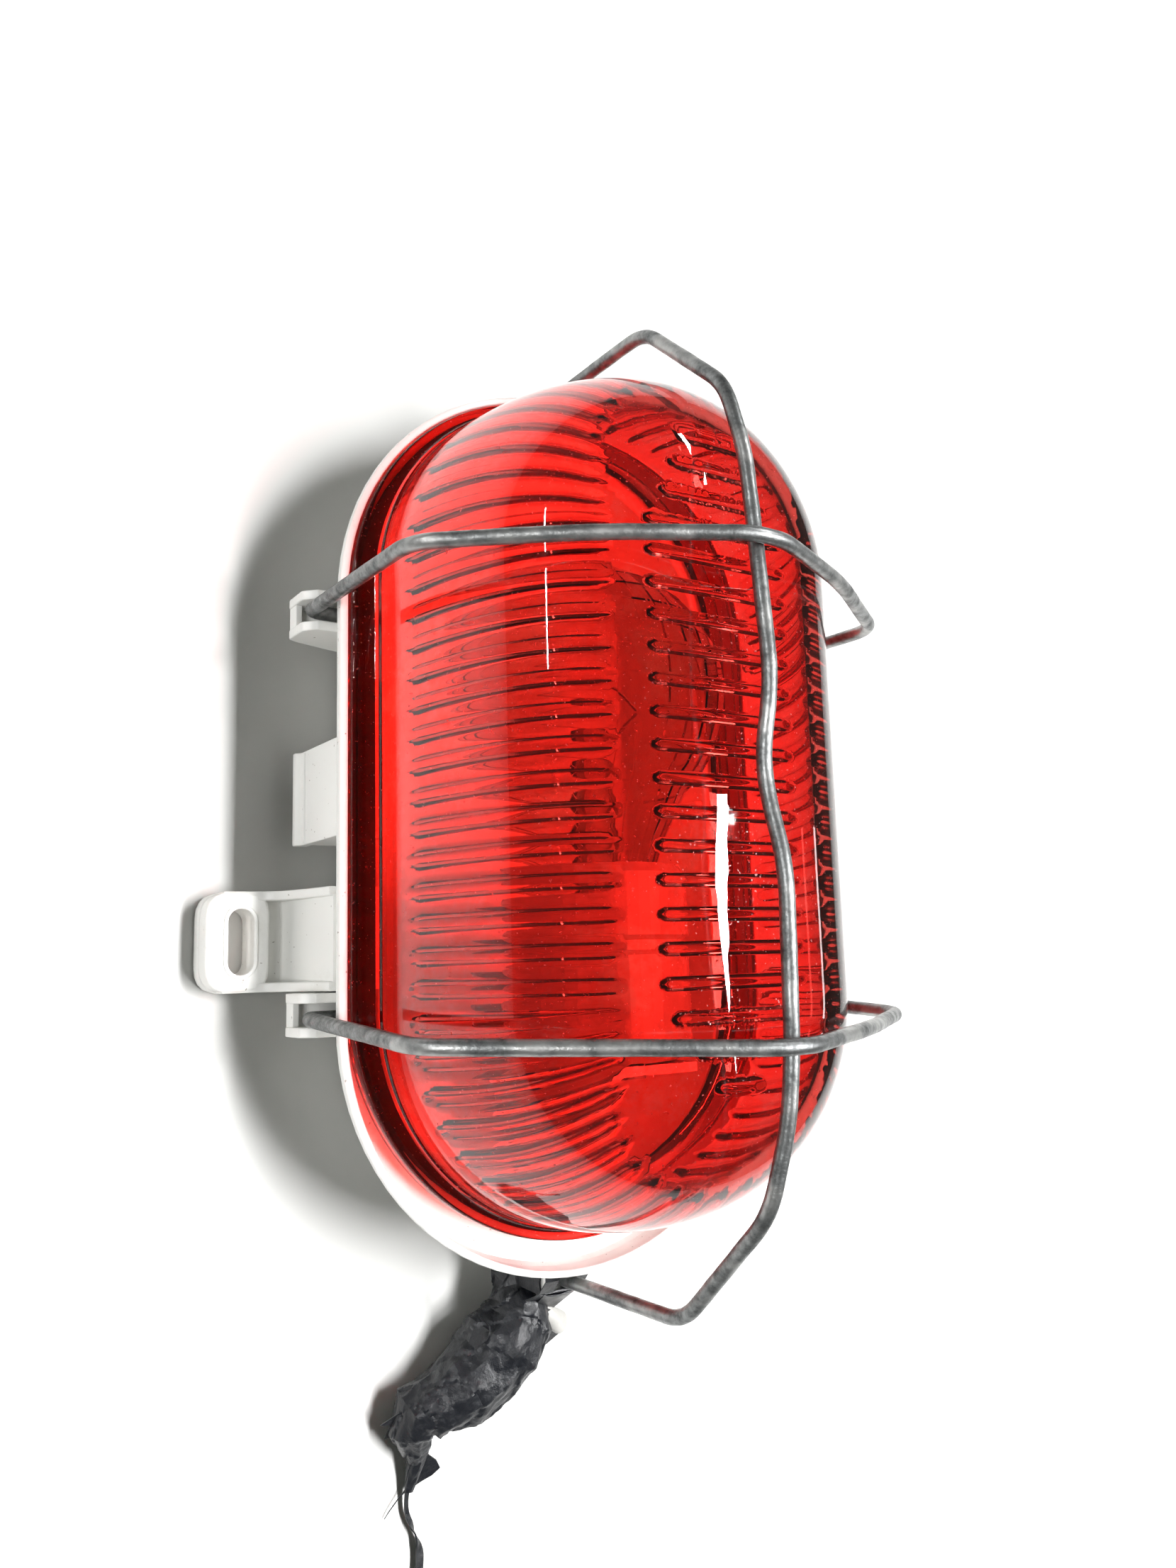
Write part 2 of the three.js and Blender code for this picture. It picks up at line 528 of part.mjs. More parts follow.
for (const [name, side] of [["left", -1], ["right", 1]]) {
  add(`bulb_support_${name}`, rod([side * 1.4, STEM_END + GAP, AXIS_Z],
    [side * FILAMENT.half, FILAMENT.y - FILAMENT.sag - 0.5 - GAP, AXIS_Z], 0.35, 8), STEEL);
}

add("cable_grommet", geometryOf(solid(new THREE.LatheGeometry([[CABLE.radius + GAP, 0], [GROMMET.flange, 0],
  [GROMMET.flange, 1.6], [GROMMET.neck, 1.6], [GROMMET.neck, 8], [CABLE.radius + GAP, 8],
  [CABLE.radius + GAP, 0]].map(([radius, y]) => new THREE.Vector2(radius, y)), 28)
  .translate(CABLE.x, GROMMET.wallY - 2.6, CABLE.z))), BLACK_RUBBER);
add("cable_stub", tube(cablePath(), CABLE.radius, 2.4, 10), GREY_SHEATH);
add("tape_wrap", geometryOf(solid(tapeWrapGeometry())), BLACK_TAPE);
add("tape_tail", tube(tapeTailPath(), 1.3, 2.4, 8, 0.6), BLACK_TAPE);

export default lamp;
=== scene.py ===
"""Looks for the darkroom safelight, round its CAD frame. Metres, +Z out through the glass, +Y up the lamp."""
import json
import math
import random

import bmesh
import bpy
import numpy as np
from mathutils import Matrix, Vector, noise

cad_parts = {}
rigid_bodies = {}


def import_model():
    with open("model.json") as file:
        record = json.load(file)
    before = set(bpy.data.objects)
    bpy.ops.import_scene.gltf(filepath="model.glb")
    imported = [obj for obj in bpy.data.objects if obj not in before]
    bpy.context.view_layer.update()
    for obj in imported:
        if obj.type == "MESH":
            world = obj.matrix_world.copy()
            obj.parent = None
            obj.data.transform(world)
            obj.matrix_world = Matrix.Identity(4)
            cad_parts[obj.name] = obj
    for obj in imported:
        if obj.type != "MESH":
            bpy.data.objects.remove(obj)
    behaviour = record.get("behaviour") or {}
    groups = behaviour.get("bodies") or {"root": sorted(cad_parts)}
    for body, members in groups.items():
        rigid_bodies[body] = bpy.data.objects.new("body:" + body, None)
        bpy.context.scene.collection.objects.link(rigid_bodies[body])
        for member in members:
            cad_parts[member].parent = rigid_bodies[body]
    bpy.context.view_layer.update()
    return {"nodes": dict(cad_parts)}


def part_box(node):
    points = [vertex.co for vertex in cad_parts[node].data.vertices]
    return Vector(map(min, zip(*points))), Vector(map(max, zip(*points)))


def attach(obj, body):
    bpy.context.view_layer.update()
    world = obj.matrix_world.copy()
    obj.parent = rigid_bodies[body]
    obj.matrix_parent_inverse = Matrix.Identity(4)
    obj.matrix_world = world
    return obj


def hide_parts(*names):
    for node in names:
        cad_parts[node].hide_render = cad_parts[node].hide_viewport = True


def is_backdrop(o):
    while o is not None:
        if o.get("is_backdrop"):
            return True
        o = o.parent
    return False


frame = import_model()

MM = 0.001
TAU = 2 * math.pi
dice = random.Random(11)
noise.seed_set(11)  # without a seed, noise_vector changes with the clock

glass_low, glass_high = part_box("glass_globe")
GLASS_SHIFT = (glass_low.y + glass_high.y) / 2

# Millimetres that several pieces share.
SPINE = 43.6  # half length of the straight middle of the base and of the dome
END_REACH = 104.6  # from the middle to the outer face of the end lugs
EAR_Y = 26.9  # the ears' middle
LUG_Y = 42.3  # the side lugs' middle
HOOK_Z = 24.2  # height of the guard's hooks


# ---------------------------------------------------------------- materials
def new_material(name):
    """A material, its node tree and its Principled shader."""
    material = bpy.data.materials.new(name)
    material.use_nodes = True
    return material, material.node_tree, material.node_tree.nodes["Principled BSDF"]


def set_inputs(node, **values):
    """Constants on a node's own sockets, named with underscores for spaces."""
    for key, value in values.items():
        node.inputs[key.replace("_", " ")].default_value = value


def add_node(tree, kind, **inputs):
    node = tree.nodes.new(kind)
    set_inputs(node, **inputs)
    return node


def object_noise(tree, scale, detail=4.0, roughness=0.55):
    """A noise texture over object coordinates, at so many waves a metre. Returns its value socket."""
    place = tree.nodes.new("ShaderNodeTexCoord")
    texture = add_node(tree, "ShaderNodeTexNoise", Scale=scale, Detail=detail, Roughness=roughness)
    tree.links.new(place.outputs["Object"], texture.inputs["Vector"])
    return texture.outputs["Fac"]


def remap(tree, value, low, high, to_low, to_high):
    """A value's range from low to high, stretched to another one and cut off at its ends."""
    node = add_node(tree, "ShaderNodeMapRange", From_Min=low, From_Max=high, To_Min=to_low, To_Max=to_high)
    tree.links.new(value, node.inputs["Value"])
    return node.outputs["Result"]


def blend_colours(tree, factor, first, second):
    """Two colours, or a colour socket and a colour, mixed by a factor socket."""
    node = tree.nodes.new("ShaderNodeMix")
    node.data_type = "RGBA"
    tree.links.new(factor, node.inputs["Factor"])
    for value, socket in ((first, node.inputs[6]), (second, node.inputs[7])):
        if isinstance(value, tuple):
            socket.default_value = (*value, 1)
        else:
            tree.links.new(value, socket)
    return node.outputs[2]


def bump(tree, shader, value, strength, distance):
    node = add_node(tree, "ShaderNodeBump", Strength=strength, Distance=distance)
    tree.links.new(value, node.inputs["Height"])
    tree.links.new(node.outputs["Normal"], shader.inputs["Normal"])


def white_plastic():
    """Satin moulded plastic, slightly yellowed, with grey handling marks and small dark specks."""
    material, tree, shader = new_material("white_plastic")
    marks = remap(tree, object_noise(tree, 60, 6, 0.65), 0.55, 0.75, 0, 0.55)
    specks = remap(tree, object_noise(tree, 900, 2, 0.5), 0.72, 0.76, 0, 0.7)
    body = blend_colours(tree, marks, (0.86, 0.86, 0.83), (0.66, 0.65, 0.60))
    tree.links.new(blend_colours(tree, specks, body, (0.22, 0.18, 0.14)), shader.inputs["Base Color"])
    tree.links.new(remap(tree, object_noise(tree, 140, 4), 0.3, 0.7, 0.30, 0.52), shader.inputs["Roughness"])
    bump(tree, shader, object_noise(tree, 1600, 2), 0.08, 0.0002)
    set_inputs(shader, Subsurface_Weight=0.06, Subsurface_Radius=(0.004, 0.004, 0.0035),
               Subsurface_Scale=0.5)
    return material


def lets_lamps_through(material, tint):
    """Lamps shine through the glass, coloured by it, so that what is inside is lit."""
    tree = material.node_tree
    glass = tree.nodes["Principled BSDF"]
    path = tree.nodes.new("ShaderNodeLightPath")
    clear = add_node(tree, "ShaderNodeBsdfTransparent", Color=(*tint, 1))
    mix = tree.nodes.new("ShaderNodeMixShader")
    tree.links.new(path.outputs["Is Shadow Ray"], mix.inputs[0])
    tree.links.new(glass.outputs["BSDF"], mix.inputs[1])
    tree.links.new(clear.outputs["BSDF"], mix.inputs[2])
    tree.links.new(mix.outputs["Shader"], tree.nodes["Material Output"].inputs["Surface"])


def red_glass():
    """Clear red pressed glass with a thin film of grease in patches and fine dust."""
    material, tree, shader = new_material("red_glass")
    film = remap(tree, object_noise(tree, 60, 8, 0.68), 0.52, 0.60, 0.0, 1.0)
    tree.links.new(blend_colours(tree, film, (0.93, 0.21, 0.18), (0.90, 0.38, 0.36)),
                   shader.inputs["Base Color"])
    set_inputs(shader, Transmission_Weight=1.0, IOR=1.5, Sheen_Weight=0.10, Sheen_Roughness=0.45,
               Sheen_Tint=(1.0, 0.92, 0.9, 1))
    depth = add_node(tree, "ShaderNodeVolumeAbsorption", Color=(0.84, 0.42, 0.38, 1), Density=250.0)
    tree.links.new(depth.outputs["Volume"], tree.nodes["Material Output"].inputs["Volume"])
    smear = remap(tree, object_noise(tree, 60, 8, 0.68), 0.57, 0.64, 0.0, 0.06)
    dust = remap(tree, object_noise(tree, 1300, 2, 0.5), 0.70, 0.73, 0.0, 0.5)
    both = add_node(tree, "ShaderNodeMath")
    both.operation = "MAXIMUM"
    tree.links.new(smear, both.inputs[0])
    tree.links.new(dust, both.inputs[1])
    tree.links.new(both.outputs["Value"], shader.inputs["Roughness"])
    bump(tree, shader, object_noise(tree, 60, 2), 0.06, 0.0005)
    lets_lamps_through(material, (0.95, 0.46, 0.40))
    return material


def guard_steel():
    """Dull galvanised wire: mottled zinc, lighter in patches where it is worn."""
    material, tree, shader = new_material("guard_steel")
    mottle = remap(tree, object_noise(tree, 420, 5, 0.7), 0.35, 0.68, 0, 1)
    wear = remap(tree, object_noise(tree, 90, 3, 0.6), 0.5, 0.62, 0, 0.6)
    zinc = blend_colours(tree, mottle, (0.10, 0.105, 0.105), (0.28, 0.29, 0.29))
    tree.links.new(blend_colours(tree, wear, zinc, (0.48, 0.48, 0.47)), shader.inputs["Base Color"])
    set_inputs(shader, Metallic=0.85)
    tree.links.new(remap(tree, mottle, 0, 1, 0.5, 0.3), shader.inputs["Roughness"])
    bump(tree, shader, object_noise(tree, 900, 4), 0.35, 0.0003)
    return material


def shaded_material(name, colour, roughness, scale, top, darkest, rougher):
    """A plain material whose darker patches are also rougher."""
    material, tree, shader = new_material(name)
    shade = remap(tree, object_noise(tree, scale, 4), 0.3, top, 0, 1)
    dark = tuple(darkest * c for c in colour)
    tree.links.new(blend_colours(tree, shade, colour, dark), shader.inputs["Base Color"])
    tree.links.new(remap(tree, shade, 0, 1, roughness, roughness + rougher), shader.inputs["Roughness"])
    return material, tree, shader


def plain_metal(name, colour, roughness):
    material, _, shader = shaded_material(name, colour, roughness, 700, 0.7, 0.72, 0.15)
    set_inputs(shader, Metallic=1.0)
    return material


def plain_plastic(name, colour, roughness, bump_strength=0.05):
    material, tree, shader = shaded_material(name, colour, roughness, 180, 0.75, 0.7, 0.18)
    bump(tree, shader, object_noise(tree, 1400, 3), bump_strength, 0.0002)
    return material


def clear_glass():
    """The bulb's glass, a little smoky."""
    material, tree, shader = new_material("bulb_clear_glass")
    set_inputs(shader, Base_Color=(0.74, 0.71, 0.66, 1), Transmission_Weight=1.0, IOR=1.46)
    tree.links.new(remap(tree, object_noise(tree, 60, 3), 0.4, 0.7, 0.0, 0.06), shader.inputs["Roughness"])
    lets_lamps_through(material, (0.80, 0.78, 0.74))
    return material


def tape_black():
    """Glossy black PVC tape, finely wrinkled, with dust."""
    material, tree, shader = new_material("tape_black")
    dust = remap(tree, object_noise(tree, 320, 6, 0.7), 0.56, 0.75, 0, 0.5)
    tree.links.new(blend_colours(tree, dust, (0.007, 0.008, 0.011), (0.05, 0.052, 0.058)),
                   shader.inputs["Base Color"])
    tree.links.new(remap(tree, object_noise(tree, 220, 4), 0.3, 0.7, 0.26, 0.5), shader.inputs["Roughness"])
    bump(tree, shader, object_noise(tree, 420, 5, 0.7), 0.5, 0.0006)
    return material


WHITE = white_plastic()
RED = red_glass()
STEEL_WIRE = guard_steel()
BRIGHT_STEEL = plain_metal("bright_steel", (0.55, 0.56, 0.57), 0.28)
BRASS = plain_metal("brass", (0.72, 0.52, 0.24), 0.25)
TUNGSTEN = plain_metal("tungsten", (0.32, 0.31, 0.30), 0.4)
RUBBER = plain_plastic("black_rubber", (0.02, 0.02, 0.02), 0.7, 0.3)
BAKELITE = plain_plastic("bakelite", (0.62, 0.52, 0.44), 0.22)
CERAMIC = plain_plastic("ceramic", (0.78, 0.75, 0.68), 0.22)
SHEATH = plain_plastic("grey_sheath", (0.62, 0.61, 0.58), 0.4, 0.2)
BLUE = plain_plastic("blue_core", (0.03, 0.12, 0.42), 0.35)
BROWN = plain_plastic("brown_core", (0.16, 0.06, 0.025), 0.35)
VITRITE = plain_plastic("black_vitrite", (0.012, 0.012, 0.016), 0.12)
CLEAR = clear_glass()
TAPE = tape_black()


# ---------------------------------------------------------------- mesh helpers
MERGE = 1e-6  # metres within which vertices become one
UP = Vector((0, 0, 1))
# Rings that dome a tube's end: how far each stands out, and its size, as shares of the tube's radius.
DOME_RINGS = ((0.35, 0.86), (0.6, 0.5))


def mesh_object(name, vertices, faces, material, smooth=True, merge=0.0):
    """A mesh object from vertex and face lists, in metres."""
    mesh = bpy.data.meshes.new(name)
    mesh.from_pydata([tuple(v) for v in vertices], [], [tuple(f) for f in faces])
    mesh.materials.append(material)
    work = bmesh.new()
    work.from_mesh(mesh)
    if merge:
        bmesh.ops.remove_doubles(work, verts=work.verts, dist=merge)
        bmesh.ops.dissolve_degenerate(work, dist=merge, edges=work.edges)
    bmesh.ops.recalc_face_normals(work, faces=work.faces)
    work.to_mesh(mesh)
    work.free()
    mesh.polygons.foreach_set("use_smooth", [smooth] * len(mesh.polygons))
    thing = bpy.data.objects.new(name, mesh)
    bpy.context.scene.collection.objects.link(thing)
    return thing


def crease_by_angle(thing, degrees):
    """Smooth shading, but sharp where two faces meet at more than the angle."""
    mesh = thing.data
    work = bmesh.new()
    work.from_mesh(mesh)
    for edge in work.edges:
        if len(edge.link_faces) == 2 and edge.calc_face_angle(0) > math.radians(degrees):
            edge.smooth = False
    work.to_mesh(mesh)
    work.free()


def rounded_corner(before, here, after, reach, most, steps):
    """Points round one corner. The rounding reaches so far along each side, and at most that share of it."""
    before, here, after = (np.array(p, float) for p in (before, here, after))
    start = here + (before - here) * min(most, reach / max(1e-9, np.linalg.norm(before - here)))
    end = here + (after - here) * min(most, reach / max(1e-9, np.linalg.norm(after - here)))
    return [(1 - t) ** 2 * start + 2 * t * (1 - t) * here + t ** 2 * end
            for t in (k / steps for k in range(steps + 1))]


def filleted(points, steps):
    """Rounds the corners of a profile. The last number of a point is how far its rounding reaches."""
    result = []
    for i, (*here, reach) in enumerate(points):
        if reach <= 0 or i in (0, len(points) - 1):
            result.append(np.array(here, float))
        else:
            result += rounded_corner(points[i - 1][:-1], here, points[i + 1][:-1], reach, 0.45, steps)
    return result


def oval_columns(arc_steps, straight_steps):
    """The columns round an oval: each one's share of the spine, and the direction it points in."""
    columns = []
    for end in (1, -1):
        for i in range(arc_steps):
            angle = math.pi * i / arc_steps + (0 if end > 0 else math.pi)
            columns.append((end, math.cos(angle), math.sin(angle)))
        for i in range(straight_steps):
            columns.append((end * (1 - 2 * i / straight_steps), -end, 0.0))
    return columns


def column_faces(count, rows):
    """Faces between columns of vertices that stand in a closed round."""
    faces = []
    for i in range(count):
        j = (i + 1) % count
        for k in range(rows - 1):
            faces.append((i * rows + k, j * rows + k, j * rows + k + 1, i * rows + k + 1))
    return faces


def ring_faces(rings, sides):
    """Faces between rings of vertices that follow each other along a tube."""
    faces = []
    for i in range(rings - 1):
        for k in range(sides):
            m = (k + 1) % sides
            faces.append((i * sides + k, i * sides + m, (i + 1) * sides + m, (i + 1) * sides + k))
    return faces


def oval_mesh(name, profile, columns, material):
    """An oval of revolution from a profile of (radius, spine, height) in millimetres."""
    vertices = []
    for share, dx, dy in columns:
        for radius, spine, height in profile:
            vertices.append((radius * dx * MM, (share * spine + radius * dy) * MM, height * MM))
    return mesh_object(name, vertices, column_faces(len(columns), len(profile)), material, merge=MERGE)


def plate(outlines, low, high, bevel):
    """Vertices and faces of a flat plate with rounded edges. The outlines are in millimetres: first its own,
    then its holes."""
    curve = bpy.data.curves.new("plate", "CURVE")
    curve.dimensions = "2D"
    curve.fill_mode = "BOTH"
    curve.extrude = ((high - low) / 2 - bevel) * MM
    curve.bevel_depth = bevel * MM
    curve.bevel_resolution = 2
    curve.offset = -bevel * MM
    for outline in outlines:
        spline = curve.splines.new("POLY")
        spline.points.add(len(outline) - 1)
        for point, (x, y) in zip(spline.points, outline):
            point.co = (x * MM, y * MM, 0, 1)
        spline.use_cyclic_u = True
    thing = bpy.data.objects.new("plate", curve)
    bpy.context.scene.collection.objects.link(thing)
    graph = bpy.context.evaluated_depsgraph_get()
    evaluated = thing.evaluated_get(graph)
    mesh = evaluated.to_mesh()
    middle = (low + high) / 2 * MM
    vertices = [(v.co.x, v.co.y, v.co.z + middle) for v in mesh.vertices]
    faces = [tuple(p.vertices) for p in mesh.polygons]
    evaluated.to_mesh_clear()
    bpy.data.objects.remove(thing)
    bpy.data.curves.remove(curve)
    return vertices, faces


def stood_up(part, y):
    """A plate drawn in X and Z, stood up so that its thickness runs along Y, about y in millimetres."""
    vertices, faces = part
    return [(x, -z + y * MM, h) for x, h, z in vertices], faces


def turned(part, matrix):
    vertices, faces = part
    return [tuple(matrix @ Vector(v)) for v in vertices], faces


def merged(parts):
    """Several (vertices, faces) pairs as one."""
    vertices, faces = [], []
    for part_vertices, part_faces in parts:
        start = len(vertices)
        vertices += part_vertices
        faces += [tuple(i + start for i in face) for face in part_faces]
    return vertices, faces


def rounded_outline(points, radius):
    """A closed outline with its corners rounded, each corner as (x, y) or (x, y, its own radius)."""
    result = []
    for i, point in enumerate(points):
        reach = point[2] if len(point) > 2 else radius
        after = points[(i + 1) % len(points)]
        result += rounded_corner(points[i - 1][:2], point[:2], after[:2], reach, 0.48, 5)
    return [tuple(p) for p in result]


def slot_outline(x, y, width, length, steps=10):
    """A slot along Y with round ends."""
    radius = width / 2
    run = length / 2 - radius
    points = [(x + radius * math.cos(math.pi * k / steps), y + run + radius * math.sin(math.pi * k / steps))
              for k in range(steps + 1)]
    return points + [(2 * x - px, 2 * y - py) for px, py in points]


HALF_TURN = Matrix.Rotation(math.pi, 4, "Z")
MIRROR_X = Matrix.Diagonal((-1, 1, 1, 1))
MIRROR_Y = Matrix.Diagonal((1, -1, 1, 1))


def smooth_path(points, reach, step):
    """A path in metres along straight runs whose corners are rounded, about a step apart. The points and the
    step are in millimetres, and a fourth number in a point is its own reach."""
    corners = filleted([(*p[:3], p[3] if len(p) > 3 else reach) for p in points], 8)
    result = [corners[0]]
    for a, b in zip(corners, corners[1:]):
        length = np.linalg.norm(b - a)
        parts = max(1, int(length / step))
        result += [a + (b - a) * (k / parts) for k in range(1, parts + 1)]
    kept = [result[0]]
    for point in result[1:]:
        if np.linalg.norm(point - kept[-1]) > step * 0.25:
            kept.append(point)
    return [Vector(p) * MM for p in kept]


def spline_path(points, step):
    """A path in metres along a Catmull-Rom curve through points, about a step apart, both in millimetres."""
    knots = [Vector(p) for p in points]
    knots = [knots[0] * 2 - knots[1], *knots, knots[-1] * 2 - knots[-2]]
    result = []
    for p0, p1, p2, p3 in zip(knots, knots[1:], knots[2:], knots[3:]):
        parts = max(2, int((p2 - p1).length / step))
        for k in range(parts):
            t = k / parts
            result.append(0.5 * (2 * p1 + (p2 - p0) * t + (2 * p0 - 5 * p1 + 4 * p2 - p3) * t ** 2
                                 + (3 * p1 - p0 - 3 * p2 + p3) * t ** 3))
    result.append(knots[-2])
    return [p * MM for p in result]


def along_at(path, i):
    """The direction of a path at its point i."""
    return (path[min(i + 1, len(path) - 1)] - path[max(i - 1, 0)]).normalized()


def frames_along(path):
    """(point, along, across, rise) at each point, carried along without twist."""
    result = []
    across = None
    for i, point in enumerate(path):
        along = along_at(path, i)
        if across is None:
            start = UP if abs(along.dot(UP)) < 0.9 else Vector((1, 0, 0))
            across = along.cross(start).normalized()
        across = (across - along * across.dot(along)).normalized()
        result.append((point, along, across, across.cross(along)))
    return result


def swept(path, section, sides):
    """A tube with domed ends. section(i, angle) is its radius in metres at point i of the path."""
    vertices = []
    frames = frames_along(path)
    for i, (point, _, across, rise) in enumerate(frames):
        for k in range(sides):
            angle = TAU * k / sides
            r = section(i, angle)
            vertices.append(point + across * (r * math.cos(angle)) + rise * (r * math.sin(angle)))
    faces = ring_faces(len(path), sides)
    for row, side in ((0, -1), (len(path) - 1, 1)):
        point, along, _, _ = frames[row]
        size = (vertices[row * sides] - point).length
        ring = [row * sides + k for k in range(sides)]
        for share, inset in DOME_RINGS:
            inner = len(vertices)
            for k in range(sides):
                arm = vertices[row * sides + k] - point
                vertices.append(point + arm * inset + along * (side * size * share))
            faces += [(ring[k], ring[(k + 1) % sides], inner + (k + 1) % sides, inner + k)
                      for k in range(sides)]
            ring = list(range(inner, inner + sides))
        faces.append(tuple(ring))
    return [tuple(v) for v in vertices], faces


def ride(thing, body, replaces=()):
    """Puts a piece on the body it rides on and hides the CAD nodes it stands for."""
    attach(thing, body)
    if replaces:
        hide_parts(*replaces)


# ---------------------------------------------------------------- camera and light
CAMERA_PLACE = Vector((-144.5, -33.3, 256.6)) * MM
CAMERA_TURNS = (("Y", -33.88), ("X", 8.67), ("Z", -1.68))  # degrees, applied from the last to the first
LENS, SENSOR = 26.85, 36  # millimetres
LIT_POINT = Vector((0, 0, 0.06))
KEY_DIRECTION = (0.31, -0.06, 0.95)
FLOOR_RADIUS, FLOOR_CORNERS = 1.3, 96
FLOOR_GAP = 0.0002  # metres that the floor lies below the lamp


def make_camera():
    """The photograph's view: close to the lamp, from its left side and a little below."""
    data = bpy.data.cameras.new("photo_camera")
    data.lens = LENS
    data.sensor_width = SENSOR
    data.clip_start = 0.01
    camera = bpy.data.objects.new("photo_camera", data)
    bpy.context.scene.collection.objects.link(camera)
    turn = Matrix.Identity(4)
    for axis, degrees in CAMERA_TURNS:
        turn = turn @ Matrix.Rotation(math.radians(degrees), 4, axis)
    camera.matrix_world = Matrix.Translation(CAMERA_PLACE) @ turn
    bpy.context.scene.camera = camera


def area_light(name, direction, distance, size, watts, gloss=True, diffuse=True, glass=True, roll=0.0):
    """A rectangular light with its long side along Y, shining at the lamp's middle. Gloss and diffuse say
    whether shiny and matt surfaces see it, and glass whether it is seen through glass."""
    data = bpy.data.lights.new(name, "AREA")
    data.shape = "RECTANGLE"
    data.size, data.size_y = size
    data.energy = watts
    light = bpy.data.objects.new(name, data)
    light.visible_glossy = gloss
    light.visible_diffuse = diffuse
    light.visible_transmission = glass
    bpy.context.scene.collection.objects.link(light)
    outward = Vector(direction).normalized()
    side = Vector((0, 1, 0)).cross(outward).normalized()
    ahead = outward.cross(side)
    turn = Matrix((side, ahead, outward)).transposed().to_4x4()
    light.matrix_world = (Matrix.Translation(LIT_POINT + outward * distance) @ turn
                          @ Matrix.Rotation(roll, 4, "Z"))
    return light


def make_studio():
    """Lights, world and floor. The photo's glass shows only narrow reflections, so the broad lights for the
    plastic and the metal are kept off it. Returns the collection of the pieces they shine on."""
    area_light("key", KEY_DIRECTION, 1.1, (0.16, 0.7), 24, gloss=False, glass=False)
    sheen = area_light("key_gloss", KEY_DIRECTION, 1.1, (0.3, 0.5), 12, diffuse=False, glass=False)
    area_light("broad_streak", (0.62, -0.05, 0.78), 1.1, (0.019, 0.41), 11.0, diffuse=False, roll=-0.05)
    area_light("thin_streak", (-0.84, 0.39, 0.42), 1.5, (0.018, 0.42), 5.0, diffuse=False)
    area_light("short_streak", (0.495, 0.61, 0.62), 1.2, (0.024, 0.42), 5.0, diffuse=False)
    area_light("side_streak", (0.90, -0.05, 0.40), 1.4, (0.05, 0.42), 0.6, diffuse=False)
    fill = area_light("left_fill", (-0.75, -0.1, 0.66), 1.2, (0.4, 0.5), 7, glass=False)
    matt = bpy.data.collections.new("not_glass")
    sheen.light_linking.receiver_collection = matt
    fill.light_linking.receiver_collection = matt
    world = bpy.data.worlds.new("studio")
    bpy.context.scene.world = world
    world.use_nodes = True
    tree = world.node_tree
    glow = tree.nodes["Background"]
    set_inputs(glow, Color=(0.96, 1.0, 0.88, 1), Strength=0.06)
    backdrop = add_node(tree, "ShaderNodeBackground", Color=(0.86, 0.87, 0.85, 1), Strength=0.9)
    path = tree.nodes.new("ShaderNodeLightPath")
    mix = tree.nodes.new("ShaderNodeMixShader")
    tree.links.new(path.outputs["Is Camera Ray"], mix.inputs[0])
    tree.links.new(glow.outputs["Background"], mix.inputs[1])
    tree.links.new(backdrop.outputs["Background"], mix.inputs[2])
    tree.links.new(mix.outputs["Shader"], tree.nodes["World Output"].inputs["Surface"])
    material, tree, shader = new_material("floor_white")
    shade = remap(tree, object_noise(tree, 9, 3), 0.3, 0.7, 0, 1)
    tree.links.new(blend_colours(tree, shade, (0.90, 0.90, 0.885), (0.87, 0.87, 0.855)),
                   shader.inputs["Base Color"])
    set_inputs(shader, Roughness=0.8, Specular_IOR_Level=0.2)
    angles = [TAU * i / FLOOR_CORNERS for i in range(FLOOR_CORNERS)]
    rim = [(FLOOR_RADIUS * math.cos(a), FLOOR_RADIUS * math.sin(a), 0) for a in angles]
    floor = mesh_object("floor", rim, [tuple(range(FLOOR_CORNERS))], material, smooth=False)
    floor.location.z = -FLOOR_GAP
    floor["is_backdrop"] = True
    bpy.context.scene.view_settings.view_transform = "Standard"
    bpy.context.scene.view_settings.look = "None"
    return matt


# ---------------------------------------------------------------- base
ROOT_X = 42  # where what stands out from the side is rooted, inside the wall
UNDER_RIM = 27  # height at which it ends, inside the rim


def base_shell():
    """Tub, rim and seat as one oval shell. The profile runs out along the bottom, over the rim and back in."""
    profile = filleted([
        (0, SPINE, 0, 0), (40, SPINE, 0, 1.4), (43, SPINE, 4, 1.6), (46.5, SPINE, 26.1, 0.7),
        (52.6, 43.7, 26.0, 0.8), (56.1, 43.7, 33.2, 1.2), (56.1, 43.7, 35.0, 0.8), (54.2, 44.0, 35.0, 0.5),
        (54.2, 44.0, 28.4, 0.5), (43.9, SPINE, 28.4, 0.7), (40.4, SPINE, 6.0, 1.6), (37.4, SPINE, 3.0, 1.2),
        (0, SPINE, 3.0, 0)], 3)
    return oval_mesh("base_moulding", profile, oval_columns(40, 24), WHITE)


